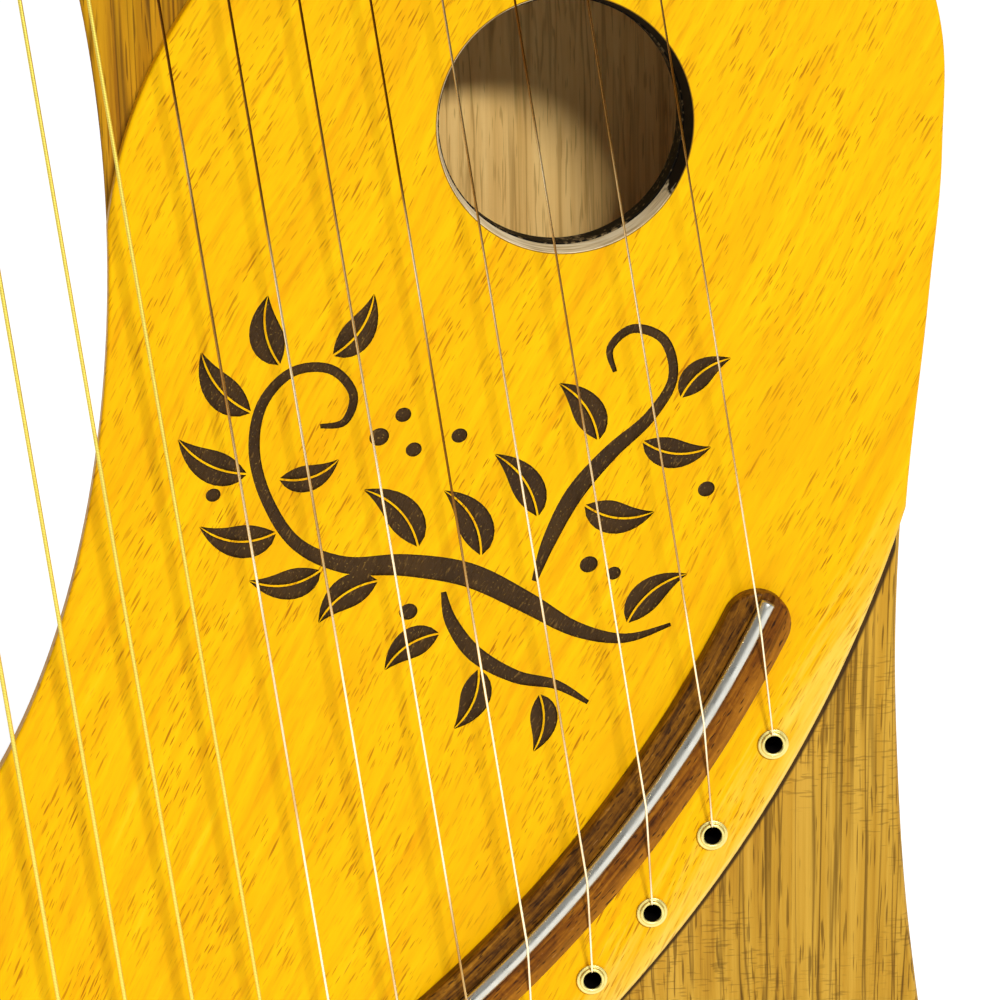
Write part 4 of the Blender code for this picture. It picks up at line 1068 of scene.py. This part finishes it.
# Half of a leaf, on one side of a vein that is left uncut
def leafHalf(baseX, baseZ, tipX, tipZ, wide, bend, side):
    base, tip = Vector((baseX, baseZ)), Vector((tipX, tipZ))
    along = tip - base
    across = Vector((-along.y, along.x))
    inner, outer = [], []
    for k in range(vine["leafSteps"] + 1):
        t = k / vine["leafSteps"]
        middle = base + along * t + across * (bend * 4 * t * (1 - t))
        slope = (along + across * (bend * 4 * (1 - 2 * t))).normalized()
        square = Vector((-slope.y, slope.x)) * side
        # fullest a little below the middle
        swell = wide * vine["swell"] * math.sin(math.pi * t ** 0.8) ** 0.85 * (1.1 - 0.25 * t)
        # the vein thins towards the tip, but never lets the two halves touch
        vein = vine["vein"] * min(1, 0.25 + 4 * (1 - t))
        inner.append(middle + square * vein)
        outer.append(middle + square * max(swell, vein + 0.05))
    return [tuple(p) for p in inner + outer[::-1]]


def makeVineCutters():
    shapes = [strokeOutline(knots) for knots in vine["stems"]]
    shapes += [leafHalf(*values, side) for values in vine["leaves"] for side in (-1, 1)]
    shapes += [ellipsePoints((x, z), r, r * 0.86, 25, 20) for x, z, r in vine["berries"]]
    outlines = [[(x / 1000, z / 1000) for x, z in shape] for shape in shapes]
    return [plate("cut", outline, depth["board"] - past, depth["board"] + vine["cut"], charredWood)
            for outline in outlines]


def circle(radius, steps):
    return ellipsePoints(hole["centre"], radius, radius, 0, steps)


def holeOutline(inset):
    return circle(hole["radius"] - inset, 160)


def makeSoundboard():
    face, wood, glued = depth["board"], depth["front"], depth["front"] - depth["glue"]
    levels = roundedLevels(face, glued, leaf["edge"], 5, False)
    made = slab("leafSoundboard", leafOutline, levels, stainedMahogany)
    # where it meets the body's outline it stops just inside it, with a rounding of its own
    levels = roundedLevels(face, wood + past, leaf["edge"] * 1.2, 5, False)
    trim = slab("trim", lambda inset: insetOutline(outside, inset + leaf["setback"]), levels, stainedMahogany)
    made = combine(made, [trim], "INTERSECT")
    levels = [(face - past, -hole["edge"]), (face, -hole["edge"]), (face + hole["edge"], 0.0),
              (glued, hole["taper"]), (wood + past, hole["taper"])]
    made = combine(made, [
        windowCutter(face, wood, leaf["edge"], False, stainedMahogany),
        slab("holeCutter", holeOutline, levels, sawnEdge),
        drills("eyeletDrill", [(eyelets["drill"], 0.002), (eyelets["drill"], -0.006)], eyeletPoint, face, sawnEdge),
    ])
    return smoothed(combine(made, makeVineCutters()))


def makeRing():
    front, back = depth["front"], depth["front"] + hole["ringThick"]
    ring = plate("blackHoleRing", circle(hole["radius"] + hole["ringWidth"], 120), front, back, blackRing)
    inset = hole["radius"] - hole["bore"]
    bore = plate("bore", holeOutline(inset), front - past, back + past, blackRing)
    return smoothed(combine(ring, [bore]))


finishPiece(makeSoundboard(), "harp_body", "soundboard", slot="yellow_lacquer")
finishPiece(makeRing(), "harp_body", "hole_ring", slot="ebony")

# Bridge and nut: strips with round ends and a channel that a metal rod lies in
strip = {
    "width": 0.0109, "nutWidth": 0.010, "offset": 0.0006, "overhang": 0.0048, "nutOverhang": 0.009, "edge": 0.0007,
    "rod": 0.0012, "rodOverhang": 0.0036, "channel": 0.00145,
}


def bridgeOutline(inset):
    centre, middle = bridgeArc["centre"], bridgeArc["radius"] + strip["offset"]
    half = strip["width"] / 2
    turn = math.degrees((strip["overhang"] - half) / middle)
    first, last = saddleAngle(0) + turn, saddleAngle(lastString) - turn
    reach = half - inset
    points = arcPoints(centre, middle + reach, first, last, 90)
    points += arcPoints(polar(centre, middle, last), reach, last, last - 180, 20)[1:]
    points += arcPoints(centre, middle - reach, last, first, 90)[1:]
    points += arcPoints(polar(centre, middle, first), reach, first + 180, first, 20)[1:-1]
    return points


def nutOutline(inset):
    half = strip["nutWidth"] / 2
    first, last = nutEnds(strip["nutOverhang"] - half)
    square = 90 - strings["nutSlope"]
    points = arcPoints(first, half - inset, square, square - 180, 20)
    return points + arcPoints(last, half - inset, square + 180, square, 20)


def saddlePath(overhang, steps):
    centre, radius = bridgeArc["centre"], bridgeArc["radius"]
    extra = math.degrees(overhang / radius)
    flat = arcPoints(centre, radius, saddleAngle(0) + extra, saddleAngle(lastString) - extra, steps)
    return [Vector((x, depth["rodAxis"], z)) for x, z in flat]


def nutPath(overhang, steps):
    first, last = nutEnds(overhang)
    return [Vector((p.x, depth["rodAxis"], p.y)) for p in (first.lerp(last, k / steps) for k in range(steps + 1))]


def makeStrip(name, outlineAt, on, path, material):
    levels = roundedLevels(depth["strip"], on - depth["glue"], strip["edge"], 4, False)
    channel = wires("channel", [(path, [1.0] * len(path))], strip["channel"], 24, material)
    return smoothed(combine(slab(name, outlineAt, levels, material), [channel]))


# A rod with its two ends slightly domed
def makeRod(name, path):
    dome = strip["rod"] * 0.25
    ahead = (path[1] - path[0]).normalized() * dome
    behind = (path[-2] - path[-1]).normalized() * dome
    points = [path[0], path[0] + ahead * 0.35, path[0] + ahead] + path[1:-1]
    points += [path[-1] + behind, path[-1] + behind * 0.35, path[-1]]
    radii = [0.80, 0.93, 1.0] + [1.0] * (len(path) - 2) + [1.0, 0.93, 0.80]
    return wires(name, [(points, radii)], strip["rod"], 40, nickelRod)


path = saddlePath(strip["overhang"] + past, 90)
bridge = makeStrip("rosewoodBridge", bridgeOutline, depth["board"], path, rosewood)
finishPiece(bridge, "harp_body", "bridge", slot="rosewood")
path = nutPath(strip["nutOverhang"] + past, 2)
nut = makeStrip("rosewoodNut", nutOutline, depth["front"], path, rosewoodNut)
finishPiece(nut, "harp_body", "nut", slot="rosewood")
finishPiece(makeRod("saddleRod", saddlePath(strip["rodOverhang"], 160)), "harp_body", "saddle_rod", slot="nickel")
finishPiece(makeRod("nutRod", nutPath(strip["rodOverhang"], 2)), "harp_body", "nut_rod", slot="nickel")


# One eyelet: a pressed ring with a rolled bead round its bore, and a barrel through the board
def makeEyelets():
    bore, flange, proud, barrel = eyelets["bore"], eyelets["flange"], eyelets["proud"], eyelets["barrel"]
    wall, bead = bore + eyelets["wall"], eyelets["bead"]
    profile = [(wall, -barrel), (wall, eyelets["lift"])] + [(flange - back, high) for back, high in eyelets["rim"]]
    profile += eyelets["groove"]
    profile += [(bore + eyelets["beadCentre"] + bead * math.cos(math.pi * k / 8),
                 proud - bead + bead * math.sin(math.pi * k / 8)) for k in range(9)]
    profile += [(bore, proud - 2 * bead), (bore, -barrel)]
    piece = loft("eyelet", turnedRings(profile, eyelets["sides"]), looped=True)
    mesh = piece.data
    # faces inside the bore, below the bead, are marked for the painted bore shade
    inside = mesh.attributes.new("inside", "BOOLEAN", "FACE")
    for face in mesh.polygons:
        centre = face.center
        inBore = math.hypot(centre.x, centre.y) < bore + 0.0001
        inside.data[face.index].value = inBore and centre.z < proud - bead
    mesh.transform(Matrix.Rotation(math.radians(90), 4, "X"))
    shadeBy(mesh, 50)
    return rowOf(piece, depth["board"], "brassEyelets")


finishPiece(makeEyelets(), "harp_body", *numbered("eyelet", allStrings), slot="brass")

# Ball ends: small brass barrels, each in its seat at the back
balls = {
    "height": depth["back"] - body["ballSeatDepth"] + 0.0023,
    "profile": [(0.0016, -0.0015), (0.0020, -0.0012), (0.0020, -0.0006), (0.0017, -0.0004),
                (0.0017, 0.0004), (0.0020, 0.0006), (0.0020, 0.0012), (0.0016, 0.0015)],
}


# Strings: from the ball end behind, through the eyelet, over saddle and nut to the coil on the pin
def stringRoute(i):
    gap = strings["touch"] + stringRadius(i)
    eyelet, saddle, nutPlace = eyeletPoint(i), saddlePoint(i), nutPoint(i)
    foot = eyelet + (saddle - eyelet).normalized() * (eyelets["bore"] - gap)
    crest = depth["rodAxis"] - strip["rod"] - gap
    mouth = depth["board"] - eyelets["proud"] - gap
    coil = coilPoints(i, 40)
    corners = [(foot.x, balls["height"], foot.y), (foot.x, mouth, foot.y), (saddle.x, crest, saddle.y),
               (nutPlace.x, crest, nutPlace.y), coil[0]]
    return roundedRoute(corners, strings["bend"])[:-1] + coil


def makeStrings(name, numbers, metal, sides):
    runs = []
    for i in numbers:
        route = stringRoute(i)
        runs.append((route, [stringRadius(i)] * len(route)))
    return wires(name, runs, 1.0, sides, metal)


def makeBallEnds():
    ball = turned("ball", balls["profile"], 24)
    ball.data.transform(layAcross(0, balls["height"], 0))
    shadeBy(ball.data, 40)
    return rowOf(ball, 0.0, "ballEnds")


plain = makeStrings("plainStrings", plainOnes, drawnSteel, 12)
finishPiece(plain, "harp_body", *numbered("string", plainOnes), slot="plain_steel")
wound = makeStrings("woundStrings", woundOnes, bronzeWinding, 16)
finishPiece(wound, "harp_body", *numbered("string", woundOnes), slot="wound_bronze")
finishPiece(makeBallEnds(), "harp_body", slot="brass")


# A ring of a pin: round, and cut off flat on four sides where square is less than reach
def pinRing(height, reach, square):
    points = []
    for k in range(pins["sides"]):
        angle = 2 * math.pi * (k + 0.5) / pins["sides"]
        flat = square / max(abs(math.cos(angle)), abs(math.sin(angle)))
        points.append((min(reach, flat) * math.cos(angle), min(reach, flat) * math.sin(angle), height))
    return points


# One pin about its own axis, standing along +Z from the wood's face
def makePinShape():
    radius, shaft, head, deep = pins["radius"], pins["shaft"], pins["head"], pins["depth"]
    low, top = pins["headLow"] / 2, pins["headTop"] / 2
    uncut = 1
    rings = [pinRing(-deep, radius * 0.8, uncut), pinRing(-deep + radius * 0.4, radius, uncut),
             pinRing(shaft - 0.0002, radius, uncut), pinRing(shaft, radius * 0.985, uncut)]
    for share in (0.08, 0.3, 0.6, 0.9):
        rings.append(pinRing(shaft + head * share, radius * 0.985, low + (top - low) * share))
    for drop, pull in ((0.0005, 0.0), (0.0002, 0.00012), (0.0, 0.0004)):
        rings.append(pinRing(shaft + head - drop, radius * 0.96 - pull, top - pull))
    bore = pins["eyeRadius"] * 1.15
    eye = turned("eye", [(bore, -0.006), (bore, 0.006)], 16, nickelPin)
    eye.data.transform(layAcross(0, 0, pins["eyeHeight"]))
    return smoothed(combine(loft("pin", rings, nickelPin), [eye]), 28)


# The string's tail: through the eye, bent down on both sides. It turns with its pin
def makeTail(i, metal):
    thick = min(stringRadius(i), pins["eyeRadius"] * 0.72)
    reach, eye = pins["radius"] + thick + 0.0001, pins["eyeHeight"]
    low = pins["coilHeight"] + coilPitch(i) * coilTurns(i) + stringRadius(i) + thick + 0.0002
    corners = [(-reach - 0.0006, 0, min(low, eye - 0.0006)), (-reach - 0.0002, 0, eye), (reach + 0.0009, 0, eye),
               (reach + 0.0011, 0.0002, eye + 0.0012)]
    route = roundedRoute(corners, radius=0.0003, stepAngle=0.3)
    return wires("tail", [(route, [thick] * len(route))], 1.0, 10, metal)


pinObject = makePinShape()
pinShape = pinObject.data.copy()
bpy.data.objects.remove(pinObject)

for i in allStrings:
    number = "%02d" % (i + 1)
    up, place = stringUp(i), pinPoint(i)
    # the eye comes round with the end of the coil
    turnedBy = math.pi - math.atan2(-up.x, up.y) - 2 * math.pi * coilTurns(i)
    pin = addObject("tuningPin" + number, pinShape.copy())
    tail = makeTail(i, drawnSteel if i in plainOnes else bronzeWinding)
    whole = bmesh.new()
    known = 0
    for index, part in enumerate((pin, tail)):
        whole.from_mesh(part.data)
        whole.faces.ensure_lookup_table()
        for face in list(whole.faces)[known:]:
            face.material_index = index
        known = len(whole.faces)
    whole.to_mesh(pin.data)
    whole.free()
    pin.data.materials.append(tail.data.materials[0])
    bpy.data.objects.remove(tail)
    pin.data.transform(faceFront(place.x, depth["front"], place.y) @ Matrix.Rotation(-turnedBy, 4, "Z"))
    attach(pin, "tuning_pin_" + number)
    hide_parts("pin_" + number)
print("pins done")

for node in ("board_brace_upper", "board_brace_lower", "back_brace"):
    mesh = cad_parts[node].data
    mesh.materials.clear()
    mesh.materials.append(spruce)
